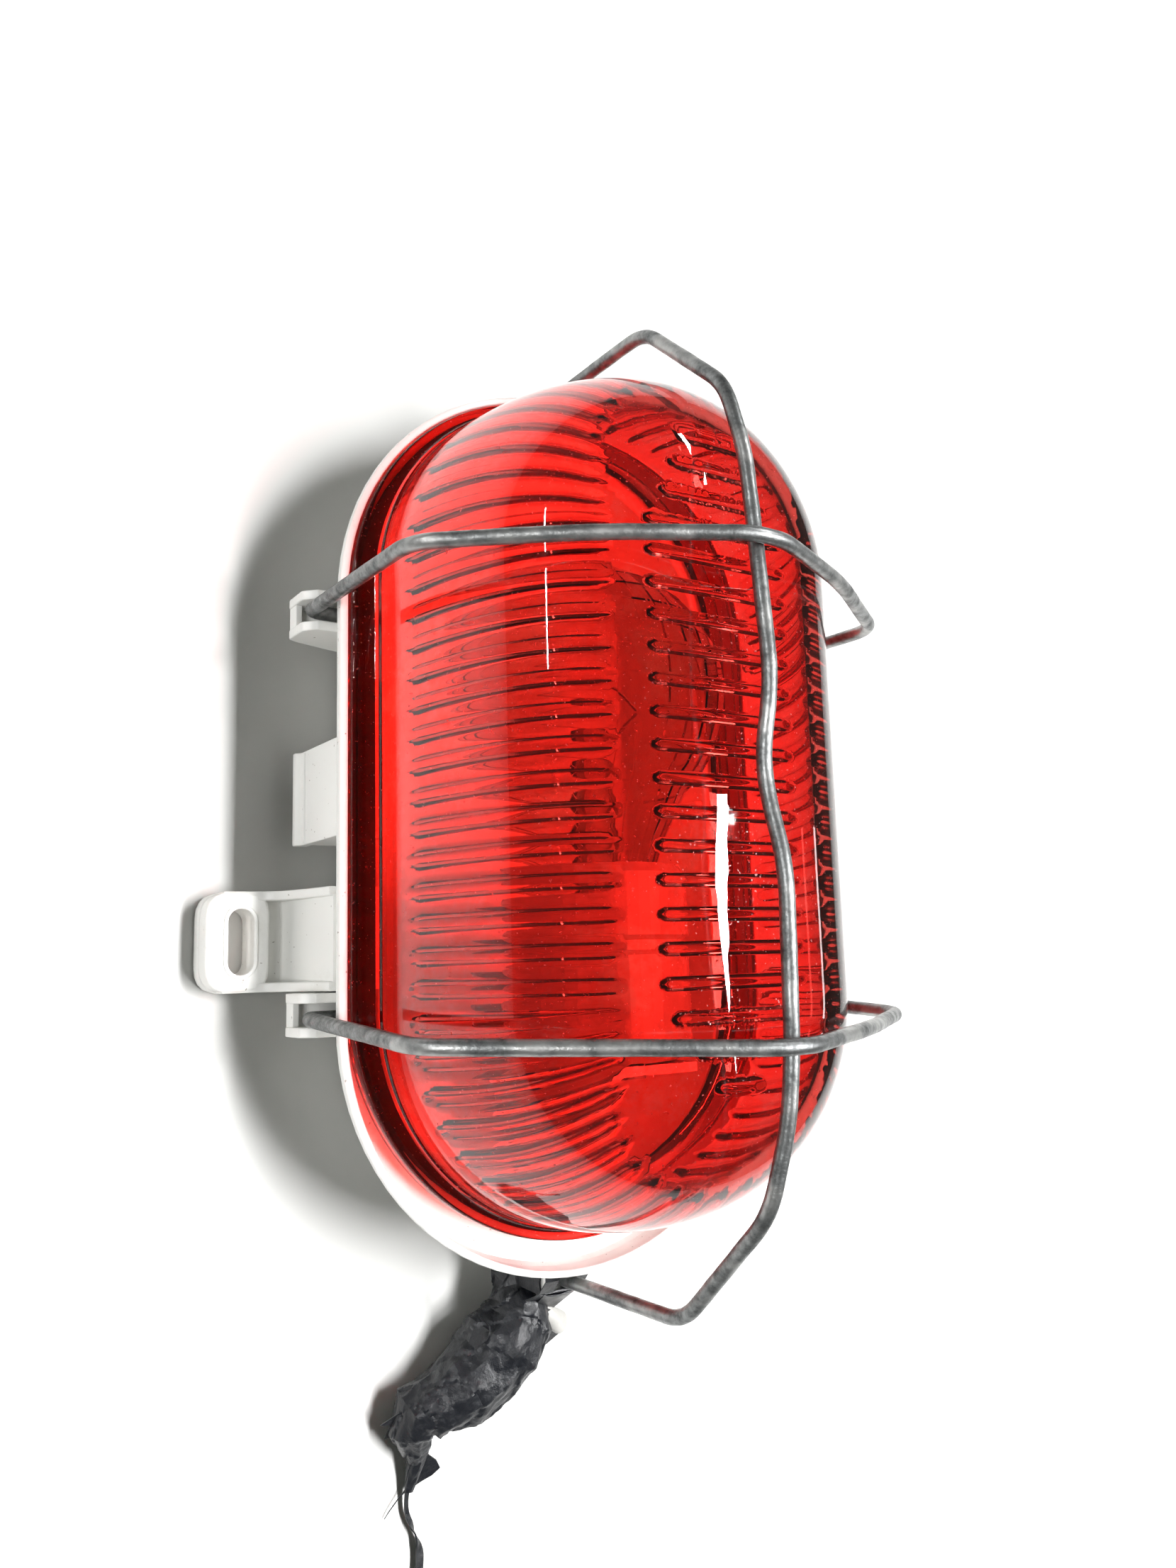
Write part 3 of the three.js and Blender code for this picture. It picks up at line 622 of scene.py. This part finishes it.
def ear_parts():
    """The ear on the +X, +Y side: plate, collar round the slot, two gussets and the wall between them."""
    y, reach, half, collar = EAR_Y, 75.0, 10.7, 8.5
    slot_x, slot_width, slot_length, lip = 67.4, 5.5, 14, 1.8
    slot = slot_outline(slot_x, y, slot_width, slot_length)
    foot_outline = rounded_outline([(41, y - half, 0.1), (reach, y - half, 5.5), (reach, y + half, 5.5),
                                    (41, y + half, 0.1)], 3)
    collar_outline = rounded_outline([(61.2, y - half + 0.2, 4.5), (reach - 0.2, y - half + 0.2, 5.5),
                                      (reach - 0.2, y + half - 0.2, 5.5), (61.2, y + half - 0.2, 4.5)], 3)
    lip_outline = slot_outline(slot_x, y, slot_width + lip, slot_length + lip)
    parts = [plate([foot_outline, slot], 0, 4.0, 0.5), plate([collar_outline, slot], 2.0, collar, 0.7),
             plate([lip_outline, slot], 6.0, collar + 0.35, 0.25)]
    gusset = rounded_outline([
        (ROOT_X, 0.2, 0.1), (71, 0.2, 0.5), (71, 7.8, 0.5), (62.5, collar, 3), (59.2, 11.5, 3),
        (57.4, 17, 3), (55.9, 22, 2), (55.0, UNDER_RIM, 0.2), (ROOT_X, UNDER_RIM, 0.1)], 1)
    for side in (-1, 1):
        parts.append(stood_up(plate([gusset], -1.0, 1.0, 0.35), y + side * (half - 1)))
    wall = rounded_outline([(ROOT_X, 0.3, 0.1), (57.6, 0.3, 0.2), (57.5, 4, 0.3), (54.2, UNDER_RIM, 0.1),
                            (ROOT_X, UNDER_RIM, 0.1)], 0.3)
    parts.append(stood_up(plate([wall], -half + 1.0, half - 1.0, 0.15), y))
    return merged(parts)


def lug_parts(inner, reach, low):
    """Two cheeks with a cross bar and an upturned lip under the hook, pointing along +X. Inner and reach are
    where the lug starts and ends, low is the height of its underside at the tip."""
    cheek = rounded_outline([
        (inner, low - 4, 0.1), (inner + 3, low - 3.4, 2), (reach - 2.2, low, 1.2), (reach, low + 1.4, 0.8),
        (reach, HOOK_Z, 0.8), (reach - 2.8, UNDER_RIM, 0.4), (inner, UNDER_RIM, 0.1)], 1)
    bar = rounded_outline([(inner, low + 0.4), (reach - 1.4, low + 0.6), (reach - 1.4, low + 2.6),
                           (inner, low + 2.4)], 0.4)
    lip = rounded_outline([(reach - 2.2, low + 0.6), (reach - 0.4, low + 1), (reach - 0.4, low + 5),
                           (reach - 1.8, low + 5)], 0.3)
    return merged([stood_up(plate([cheek], -1, 1, 0.3), side * 3.4) for side in (-1, 1)]
                  + [stood_up(plate([bar], -2.8, 2.8, 0.2), 0), stood_up(plate([lip], -2.8, 2.8, 0.2), 0)])


def tab_parts():
    """The plain tab on the +X side, with its out-turned lower lip, a shallow step across it and two webs."""
    y, half, outer, low, top = 4.0, 10.3, 55.2, 8.0, 31
    front = rounded_outline([
        (outer - 2.2, low, 0.2), (outer + 1.1, low, 0.35), (outer + 1.1, low + 1.5, 0.35),
        (outer, low + 2.4, 0.5), (outer, top, 0.1), (outer - 2.2, top, 0.1)], 0.3)
    step = rounded_outline([(outer - 0.4, low + 4.2), (outer + 0.35, low + 4.4), (outer + 0.35, low + 5.0),
                            (outer - 0.4, low + 5.2)], 0.1)
    web = rounded_outline([(ROOT_X, low + 3), (outer - 1, low + 3), (outer - 1, UNDER_RIM),
                           (ROOT_X, UNDER_RIM)], 0.2)
    return merged([stood_up(plate([front], -half, half, 0.3), y),
                   stood_up(plate([step], -half + 0.5, half - 0.5, 0.1), y)]
                  + [stood_up(plate([web], -0.8, 0.8, 0.2), y + side * (half - 0.9)) for side in (-1, 1)])


def make_base():
    """The whole moulding as one piece: the shell, two ears and two tabs half a turn apart, and six lugs."""
    shell = base_shell()
    ear = turned(ear_parts(), MIRROR_X @ MIRROR_Y)
    tab = turned(tab_parts(), MIRROR_X)
    lug = lug_parts(45.2, 60.5, 15)
    to_end = Matrix.Translation((0, SPINE * MM, 0)) @ Matrix.Rotation(math.pi / 2, 4, "Z")
    end_lug = turned(lug_parts(42, END_REACH - SPINE, 17), to_end)
    to_side = Matrix.Translation((0, LUG_Y * MM, 0))
    parts = [ear, turned(ear, HALF_TURN), tab, turned(tab, HALF_TURN), end_lug, turned(end_lug, MIRROR_Y)]
    for flip in (Matrix.Identity(4), MIRROR_X, MIRROR_Y, MIRROR_X @ MIRROR_Y):
        parts.append(turned(lug, flip @ to_side))
    vertices, faces = merged(parts)
    extras = mesh_object("extras", vertices, faces, WHITE)
    crease_by_angle(extras, 40)
    crease_by_angle(shell, 50)
    bpy.ops.object.select_all(action="DESELECT")
    extras.select_set(True)
    shell.select_set(True)
    bpy.context.view_layer.objects.active = shell
    bpy.ops.object.join()
    shell.name = "base_moulding"
    ride(shell, "base", ["base_tray"])


# ---------------------------------------------------------------- red glass
# The arch: half width at its foot, height above the flange, wall, and the powers that square it off.
FOOT_R, DOME_H, WALL, ACROSS, RISE = 48.2, 55.1, 3.5, 4.1, 1.8
FLANGE_SPINE, FLANGE_R, FLANGE_LOW, FLANGE_TOP = 41.2, 53.8, 31.0, 36.0
LIFT = 2.2  # how far the outer arch starts above the flange
RIB_PITCH, RIB_HALF, RIB_HEIGHT = 6.23, 1.5, 1.25
CROWN_HALF, CROWN_HEIGHT, CROWN_REACH = 1.25, 1.05, 17.2
# Half lengths of the crown ribs that run on over each end of the dome, from the straight part outward.
END_RIBS = {1: (17.2, 13.5, 10.5, 8.0), -1: (15.0, 10.0, 6.0)}
ARC_RIBS, SIDE_RIBS = 20, 14
# The flank ribs start this far above the foot and end this far from the crown. The fanned ones end up to
# FAN_CUT lower.
FLANK_START, FLANK_STOP, FAN_CUT = 9.5, 23.5, 14


def arch(radius, height, base, shares):
    """Points and outward normals of a squared-off arch at shares of its length, from foot to crown."""
    fine = []
    for angle in np.linspace(0, math.pi / 2, 801):
        across = max(0.0, math.cos(angle)) ** (2 / ACROSS)
        fine.append((radius * across, base + height * math.sin(angle) ** (2 / RISE)))
    fine = np.array(fine)
    fine[-1, 0] = 0
    run = np.concatenate([[0], np.cumsum(np.linalg.norm(np.diff(fine, axis=0), axis=1))])
    spots = run[-1] * np.asarray(shares)
    points = np.column_stack([np.interp(spots, run, fine[:, 0]), np.interp(spots, run, fine[:, 1])])
    step = np.gradient(points, axis=0)
    step /= np.linalg.norm(step, axis=1)[:, None]
    normals = np.column_stack([step[:, 1], -step[:, 0]])
    normals[-1] = (0, 1)
    normals[0] = (1, 0)
    return points, normals, spots


# Places along one rib pitch, as shares of it: its edge, then close together over the rib in its middle.
RIB_MARKS = [0.0, *(0.5 + o * RIB_HALF / RIB_PITCH
                    for o in (-1.0, -0.88, -0.62, -0.3, 0.0, 0.3, 0.62, 0.88, 1.0))]


def rib_height(across, along, start, end, widest=RIB_HALF, highest=RIB_HEIGHT):
    """Height of one bead: across is the distance from its centre line, along the place on it. Its ends are
    rounded over 2.6 half widths, and it rises over its first 2 mm."""
    if along <= start or along >= end:
        return 0.0
    near = min(along - start, end - along)
    half = widest * math.sqrt(1 - (1 - min(1.0, near / (2.6 * widest))) ** 2)
    if half < 0.05 or abs(across) >= half:
        return 0.0
    return highest * min(1.0, near / 2.0) ** 0.5 * math.sqrt(1 - (across / half) ** 2)


def crown_rib(across, along, half):
    """Height of a crown rib that reaches half as far to both sides of the crown line."""
    return rib_height(across, along, -half, half, CROWN_HALF, CROWN_HEIGHT)


def glass_columns():
    """Columns as in oval_columns, each with its place across its rib as a share of the pitch."""
    columns = []
    for end in (1, -1):
        for i in range(ARC_RIBS):
            for mark in RIB_MARKS:
                angle = math.pi * (i + mark) / ARC_RIBS + (0 if end > 0 else math.pi)
                columns.append((end, math.cos(angle), math.sin(angle), mark - 0.5))
        for i in range(SIDE_RIBS):
            for mark in RIB_MARKS:
                share = end * (1 - 2 * (i + mark) / SIDE_RIBS)
                columns.append((share, -end, 0.0, mark - 0.5))
    return columns


def make_glass():
    """Pressed glass: smooth outside, beads inside on the flanks, the crown and fanned round both ends."""
    outer, _, _ = arch(FOOT_R, DOME_H - LIFT, FLANGE_TOP + LIFT, np.linspace(0, 1, 30))
    # Rows stand closer together over the crown.
    inner, inner_normals, inner_run = arch(FOOT_R - WALL, DOME_H - WALL, FLANGE_TOP,
                                           [*np.linspace(0, 0.71, 41)[:-1], *np.linspace(0.71, 1, 53)])
    total = inner_run[-1]
    pitch = 2 * SPINE / SIDE_RIBS
    lip = [(44.7, SPINE, 33.0), (44.7, SPINE, 31.8), (45.0, SPINE, 31.3), (45.8, SPINE, FLANGE_LOW)]
    lip += [tuple(p) for p in filleted([
        (46.5, SPINE, FLANGE_LOW, 0), (FLANGE_R, FLANGE_SPINE, FLANGE_LOW, 0.8),
        (FLANGE_R, FLANGE_SPINE, FLANGE_TOP, 1.3), (50.2, SPINE - 0.8, FLANGE_TOP, 1.0),
        (FOOT_R, SPINE, 37.6, 0)], 4)]
    vertices = []

    def add_vertex(share, dx, dy, radius, spine, height):
        vertices.append((radius * dx * MM, (share * spine + radius * dy) * MM + GLASS_SHIFT, height * MM))

    columns = glass_columns()
    for share, dx, dy, place in columns:
        for (r, z), (nr, nz), run in zip(inner[::-1], inner_normals[::-1], inner_run[::-1]):
            if abs(share) == 1:
                width = math.pi * r / ARC_RIBS
                stop = total - FLANK_STOP - FAN_CUT * abs(dy) ** 1.5
                height = rib_height(place * width, run, FLANK_START, stop)
                for k, half in enumerate(END_RIBS[share]):
                    height = max(height, crown_rib(r * abs(dy) - pitch * (k + 0.5), r * dx, half))
            else:
                height = max(rib_height(place * pitch, run, FLANK_START, total - FLANK_STOP),
                             crown_rib(place * pitch, total - run, CROWN_REACH))
            add_vertex(share, dx, dy, r - nr * height, SPINE, z - nz * height)
        for point in lip:
            add_vertex(share, dx, dy, *point)
        for r, z in outer:
            add_vertex(share, dx, dy, r, SPINE, z)
    faces = column_faces(len(columns), len(vertices) // len(columns))
    globe = mesh_object("red_globe", vertices, faces, RED, merge=MERGE)
    ride(globe, "glass", ["glass_globe"])


# ---------------------------------------------------------------- guard
WIRE_RADIUS, DENT, WOBBLE = 1.5, 0.06, 0.18  # the wire, how deep its dents are and how far it strays, in mm
BEND_REACH = 5.5  # how far most bends reach along the wire
LEG_X = 58.7  # where the cross wires' legs stand
BOW = 2.2  # how far the long wire is bent aside
# For each cross wire: y at its lugs, at its corners and at its top, and its noise seed.
CROSS_WIRES = {"upper": (LUG_Y, 41.6, 43.8, 3.1), "lower": (-42.9, -46.4, -48.8, 8.7)}
LONG_WIRE_SEED = 5.5


def wire_mesh(name, points, replaced, seed):
    """A guard wire along points in millimetres, slightly uneven and dented."""
    shift = Vector((seed, 0, 0))
    smooth = smooth_path(points, BEND_REACH, 1.1)
    path = [p + noise.noise_vector(p * 22 + shift) * (WOBBLE * MM) for p in smooth]

    def section(i, angle):
        dent = noise.noise(path[i] * 260 + Vector((seed, math.cos(angle), math.sin(angle))))
        return (WIRE_RADIUS + DENT * dent) * MM

    ride(mesh_object(name, *swept(path, section, 20), STEEL_WIRE), "guard", replaced)


def make_guard():
    """Two cross wires and the long wire, each with its hooks."""
    for name, (lug_y, corner_y, apex_y, seed) in CROSS_WIRES.items():
        kink_y = (corner_y + apex_y) / 2
        half = [(51.2, lug_y, HOOK_Z, 1), (LEG_X, lug_y, HOOK_Z, 2.6), (LEG_X, corner_y, 74.6),
                (30, kink_y, 92.8, 9), (4, apex_y, 103.7, 3.5)]
        other = [(-p[0], *p[1:]) for p in reversed(half)]
        hooks = [f"guard_hook_{name}_{side}" for side in ("left", "right")]
        wire_mesh(f"cross_wire_{name}", half + other, [f"guard_{name}_cross_wire", *hooks], seed)
    half = [(0, 94.6, HOOK_Z, 1), (0, 102.4, HOOK_Z, 2.6), (0, 101.8, 68.6), (0, 78.5, 93.6), (0, 62, 98.6)]
    other = [(p[0], -p[1], *p[2:]) for p in reversed(half)]
    other[0] = (BOW, *other[0][1:])
    other[1] = (BOW / 2, *other[1][1:])
    middle = [(0, 43.8, 100.4, 6), (0, 17, 102.4, 6), (0, 4, 99.2, 5), (BOW / 4, -4, 99.2, 5),
              (BOW / 2, -17, 102.4, 6), (BOW, -48.8, 100.4, 6)]
    wire_mesh("long_wire", half + middle + other,
              ["guard_long_wire", "guard_hook_upper_end", "guard_hook_lower_end"], LONG_WIRE_SEED)


# ---------------------------------------------------------------- taped cable
CABLE_ROUTE = ((-5, -82, 9.5), (-5, -92, 9.5), (-4.4, -101, 9.8), (-4.2, -108, 10.4), (-5.2, -114, 10.6),
               (-8, -119, 10.4), (-12.5, -122.8, 9.8), (-17.5, -125.4, 9.0))
CABLE_DIAMETER = 6.4
# Each row of the taped lump: centre x, y, z, half its width and half its height.
LUMP = ((-4.0, -101.2, 9.9, 4.6, 4.8), (-3.0, -104.6, 10.2, 6.0, 5.8), (-2.6, -108.4, 10.6, 7.3, 7.0),
        (-3.4, -113.0, 10.6, 9.2, 8.4), (-6.9, -118.0, 10.5, 10.2, 9.0), (-11.2, -122.2, 10.0, 9.7, 8.6),
        (-16.9, -125.6, 9.2, 8.5, 7.9), (-22.0, -127.4, 8.3, 7.3, 7.2), (-26.2, -129.4, 7.3, 6.7, 6.4),
        (-27.4, -132.6, 6.2, 5.3, 4.8), (-25.9, -136.4, 4.9, 3.9, 3.4), (-25.3, -140.0, 3.6, 2.5, 2.1),
        (-25.9, -144.0, 2.7, 1.6, 1.3), (-26.6, -147.0, 2.1, 1.1, 0.5))
LUMP_CORNERS = 9
LUMP_SIDES, LUMP_STEPS = 108, 11  # vertices round a ring of the lump, and rings from row to row
TAIL_ROUTE = ((-25.4, -138.6, 3.9), (-26.0, -143, 2.7), (-26.8, -147, 1.9), (-26.7, -151.5, 1.5),
              (-24.8, -156, 1.4), (-23.7, -160, 1.4), (-23.8, -165, 1.5), (-23.5, -170, 1.4),
              (-22.8, -175, 1.5))
# The turn of tape round the end lug: points, and the way the tape faces there.
LUG_TAPE = (
    ((-4.9, -99.9, 19.7), (-1, 0, 0)), ((-5.0, -102.6, 19.4), (-1, 0, 0)),
    ((-4.9, -105.1, 19.5), (-0.9, -0.4, 0)), ((-2.6, -105.9, 19.3), (-0.2, -1, 0)),
    ((0.0, -106.0, 19.6), (0, -1, 0)), ((2.6, -105.8, 19.3), (0.2, -1, 0)),
    ((4.9, -105.0, 19.5), (0.9, -0.4, 0)), ((5.1, -102.6, 19.2), (1, 0, 0)), ((4.9, -99.9, 19.6), (1, 0, 0)))


def make_cable():
    """The cable from the terminals out through the wall and into the tape."""
    curve = bpy.data.curves.new("supply_cable", "CURVE")
    curve.dimensions = "3D"
    curve.bevel_depth = CABLE_DIAMETER / 2 * MM
    curve.bevel_resolution = 6
    curve.use_fill_caps = True
    path = spline_path(CABLE_ROUTE, 1.7)
    spline = curve.splines.new("POLY")
    spline.points.add(len(path) - 1)
    for point, place in zip(spline.points, path):
        point.co = (*place, 1)
    cable = bpy.data.objects.new("supply_cable", curve)
    bpy.context.scene.collection.objects.link(cable)
    curve.materials.append(SHEATH)
    ride(cable, "base", ["cable_stub"])


def lump_rows():
    """The lump's rows, each its centre and a ring of (angle, corner) joined by flats, in millimetres."""
    centres = [Vector(row[:3]) for row in LUMP]
    rows = []
    for i, (centre, (*_, wide, tall)) in enumerate(zip(centres, LUMP)):
        along = along_at(centres, i)
        across = along.cross(UP).normalized()
        rise = across.cross(along)
        ring = []
        for k in range(LUMP_CORNERS):
            angle = TAU * (k + 0.31 * i + dice.uniform(-0.22, 0.22)) / LUMP_CORNERS
            reach = dice.uniform(0.93, 1.10)
            ring.append((angle % TAU, centre + across * (wide * reach * math.cos(angle))
                         + rise * (tall * reach * math.sin(angle))))
        rows.append((centre, sorted(ring, key=lambda c: c[0])))
    return rows


def ring_point(ring, angle):
    """The point on a ring of corners that lies in the direction of the angle."""
    for (a, p), (b, q) in zip(ring, [*ring[1:], (ring[0][0] + TAU, ring[0][1])]):
        if a <= angle < b:
            return p.lerp(q, (angle - a) / (b - a))
    (a, p), (b, q) = (ring[-1][0] - TAU, ring[-1][1]), ring[0]
    return p.lerp(q, (angle - a) / (b - a))


def tape_strip(points, width, thickness, facing):
    """A flat strip of tape along points in millimetres. Its width, and the way its face looks, are given once
    or for each point."""
    points = [Vector(p) for p in points]
    vertices = []
    for i, point in enumerate(points):
        along = along_at(points, i)
        across = along.cross(Vector(facing[i] if isinstance(facing[0], tuple) else facing)).normalized()
        normal = across.cross(along)
        half = (width[i] if isinstance(width, list) else width) / 2
        for side, lift in ((-1, -1), (1, -1), (1, 1), (-1, 1)):
            vertices.append(tuple((point + across * (side * half) + normal * (lift * thickness / 2)) * MM))
    last = (len(points) - 1) * 4
    return vertices, ring_faces(len(points), 4) + [(0, 1, 2, 3), (last + 3, last + 2, last + 1, last)]


def tape_flap(corners, thickness=0.25):
    """A loose corner of tape: a thin slab over three or more corners in millimetres."""
    corners = [Vector(c) for c in corners]
    normal = (corners[1] - corners[0]).cross(corners[2] - corners[0]).normalized() * (thickness / 2)
    vertices = [tuple((c + normal) * MM) for c in corners] + [tuple((c - normal) * MM) for c in corners]
    count = len(corners)
    faces = [tuple(range(count)), tuple(range(2 * count - 1, count - 1, -1))]
    faces += [(k, k + count, (k + 1) % count + count, (k + 1) % count) for k in range(count)]
    return vertices, faces


def lump_body():
    """The lump of tape over the cable's end, creased in flats, its wraps stepping over each other."""
    rows = lump_rows()
    vertices = []
    count = (len(rows) - 1) * LUMP_STEPS + 1
    for n in range(count):
        i = min(n // LUMP_STEPS, len(rows) - 2)
        t = n / LUMP_STEPS - i
        centre = rows[i][0].lerp(rows[i + 1][0], t)
        fade = min(1.0, n / 6, (count - 1 - n) / 40)  # no steps or creases at either end
        for k in range(LUMP_SIDES):
            angle = TAU * k / LUMP_SIDES
            point = ring_point(rows[i][1], angle).lerp(ring_point(rows[i + 1][1], angle), t)
            wrap = (n / 17 + 1.35 * math.sin(angle) + 0.4 * noise.noise(point * 0.12)) % 1.0
            step = 0.5 * wrap + (0.35 if wrap < 0.06 else 0)
            crease = 0.55 * abs(noise.noise(point * 0.33)) + 0.16 * noise.noise(point * 1.1)
            outward = (point - centre).normalized()
            point = point + outward * (fade * (step - 0.35 - crease))
            point.z = max(point.z, 0.15)  # just clear of the floor
            vertices.append(tuple(point * MM))
    last = (count - 1) * LUMP_SIDES
    ends = [tuple(range(LUMP_SIDES)), tuple(range(last, last + LUMP_SIDES))]
    return vertices, ring_faces(count, LUMP_SIDES) + ends


def make_tape_lump():
    """The lump with its loose corners, a raised loop, and the turn of tape round the end lug."""
    bends = [math.pi * k / 14 for k in range(15)]
    loop = [(-16.2 + 1.6 * math.sin(a) - 0.9 * math.cos(a), -114.8 + 5.0 * a / math.pi,
             15.2 + 3.4 * math.sin(a)) for a in bends]
    parts = [
        lump_body(),
        tape_flap([(-23.4, -139.0, 4.4), (-20.6, -141.4, 3.9), (-19.3, -143.5, 3.0), (-20.9, -144.9, 2.2),
                   (-23.2, -145.6, 1.9), (-25.8, -146.6, 1.6)]),
        tape_flap([(1.5, -110.8, 15.6), (6.8, -113.4, 12.6), (9.0, -118.7, 9.6), (4.4, -121.2, 9.2),
                   (-1.0, -119.5, 14.4)]),
        tape_flap([(-4.0, -105.0, 24.4), (4.6, -105.2, 24.2), (6.9, -107.2, 14.0), (5.2, -112.6, 11.6),
                   (-1.0, -109.6, 15.4)], 0.4),
        tape_strip([p for p, _ in LUG_TAPE], 9.2, 0.3, [f for _, f in LUG_TAPE]),
        *[tape_strip([(x, -99.6, 27.35), (x, -101.9, 27.35), (x * 1.02, -104.8, 24.6),
                      (x * 1.04, -106.0, 22.4), (x * 1.1, -107.4, 19.0)], 3.5, 0.25, (0, -0.4, 1))
          for x in (-3.75, 3.75)],
        tape_flap([(-26.5, -127.2, 11.6), (-31.6, -127.8, 8.6), (-34.6, -130.6, 5.4), (-32.4, -131.2, 5.6),
                   (-33.2, -134.0, 4.2), (-30.6, -133.2, 6.2), (-27.2, -132.0, 9.4)]),
        tape_strip(loop, 1.9, 0.25, (0.9, 0.3, 0.45)),
        tape_strip([(-27.0, -146.6, 1.8), (-28.6, -148.2, 1.2), (-30.6, -150.4, 0.8), (-31.6, -151.8, 0.5)],
                   [0.5, 0.25, 0.2, 0.12], 0.12, (0, 0, 1)),
    ]
    lump = mesh_object("tape_lump", *merged(parts), TAPE)
    crease_by_angle(lump, 24)
    ride(lump, "base", ["tape_wrap"])


def make_cable_end():
    """The cut end of the sheath that shows at the side of the tape."""
    path = spline_path([(1.4, -112.2, 12.4), (4.2, -113.9, 12.2), (7.2, -115.9, 11.6)], 0.5)
    shape = swept(path, lambda i, angle: (2.5 + 0.25 * math.sin(3 * angle + i * 0.4)) * MM, 20)
    ride(mesh_object("cut_cable_end", *shape, SHEATH), "base")


def make_tail():
    """The loose end of the tape: it narrows where it is stretched, and turns on edge once."""
    path = spline_path(TAIL_ROUTE, 1.0)
    facing = []
    for point in path:
        run = -point.y / MM
        twist = 0.15 + 1.5 * math.exp(-((run - 156.5) / 2.6) ** 2) + 0.25 * math.sin(run * 0.35)
        facing.append((math.sin(twist), 0.1, math.cos(twist)))
    widths = [2.0 - 0.9 * math.exp(-((-p.y / MM - 150) / 6) ** 2) for p in path]
    shape = tape_strip([tuple(p / MM) for p in path], widths, 0.3, facing)
    tail = mesh_object("tape_tail_strip", *shape, TAPE)
    crease_by_angle(tail, 30)
    ride(tail, "base", ["tape_tail"])


# ---------------------------------------------------------------- carried-over CAD pieces
def paint_cad():
    """Materials for the CAD pieces that are shown as they are."""
    looks = {
        "seal_ring": RUBBER, "cable_grommet": RUBBER, "lampholder_body": BAKELITE, "lampholder_shell": BRASS,
        "lampholder_contact": BRASS, "lampholder_bracket": BRIGHT_STEEL, "terminal_block": CERAMIC,
        "bulb_glass": CLEAR, "bulb_cap_shell": BRIGHT_STEEL, "bulb_cap_insulator": VITRITE,
        "bulb_tip_contact": BRASS, "bulb_stem": CLEAR, "bulb_filament": TUNGSTEN,
    }
    for side in ("left", "right"):
        looks[f"bracket_screw_{side}"] = BRIGHT_STEEL
        looks[f"holder_screw_{side}"] = BRIGHT_STEEL
        looks[f"terminal_screw_{side}"] = BRASS
        looks[f"bulb_support_{side}"] = TUNGSTEN
        looks[f"holder_lead_{side}"] = BLUE if side == "left" else BROWN
        looks[f"cable_core_{side}"] = BLUE if side == "left" else BROWN
    for node, material in looks.items():
        thing = frame["nodes"][node]
        thing.data.materials.clear()
        thing.data.materials.append(material)


make_camera()
not_glass = make_studio()
make_cable()
make_tape_lump()
make_cable_end()
make_tail()
make_base()
make_glass()
make_guard()
paint_cad()

for thing in bpy.context.scene.objects:
    if thing.type in ("MESH", "CURVE") and thing.name != "red_globe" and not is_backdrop(thing):
        not_glass.objects.link(thing)
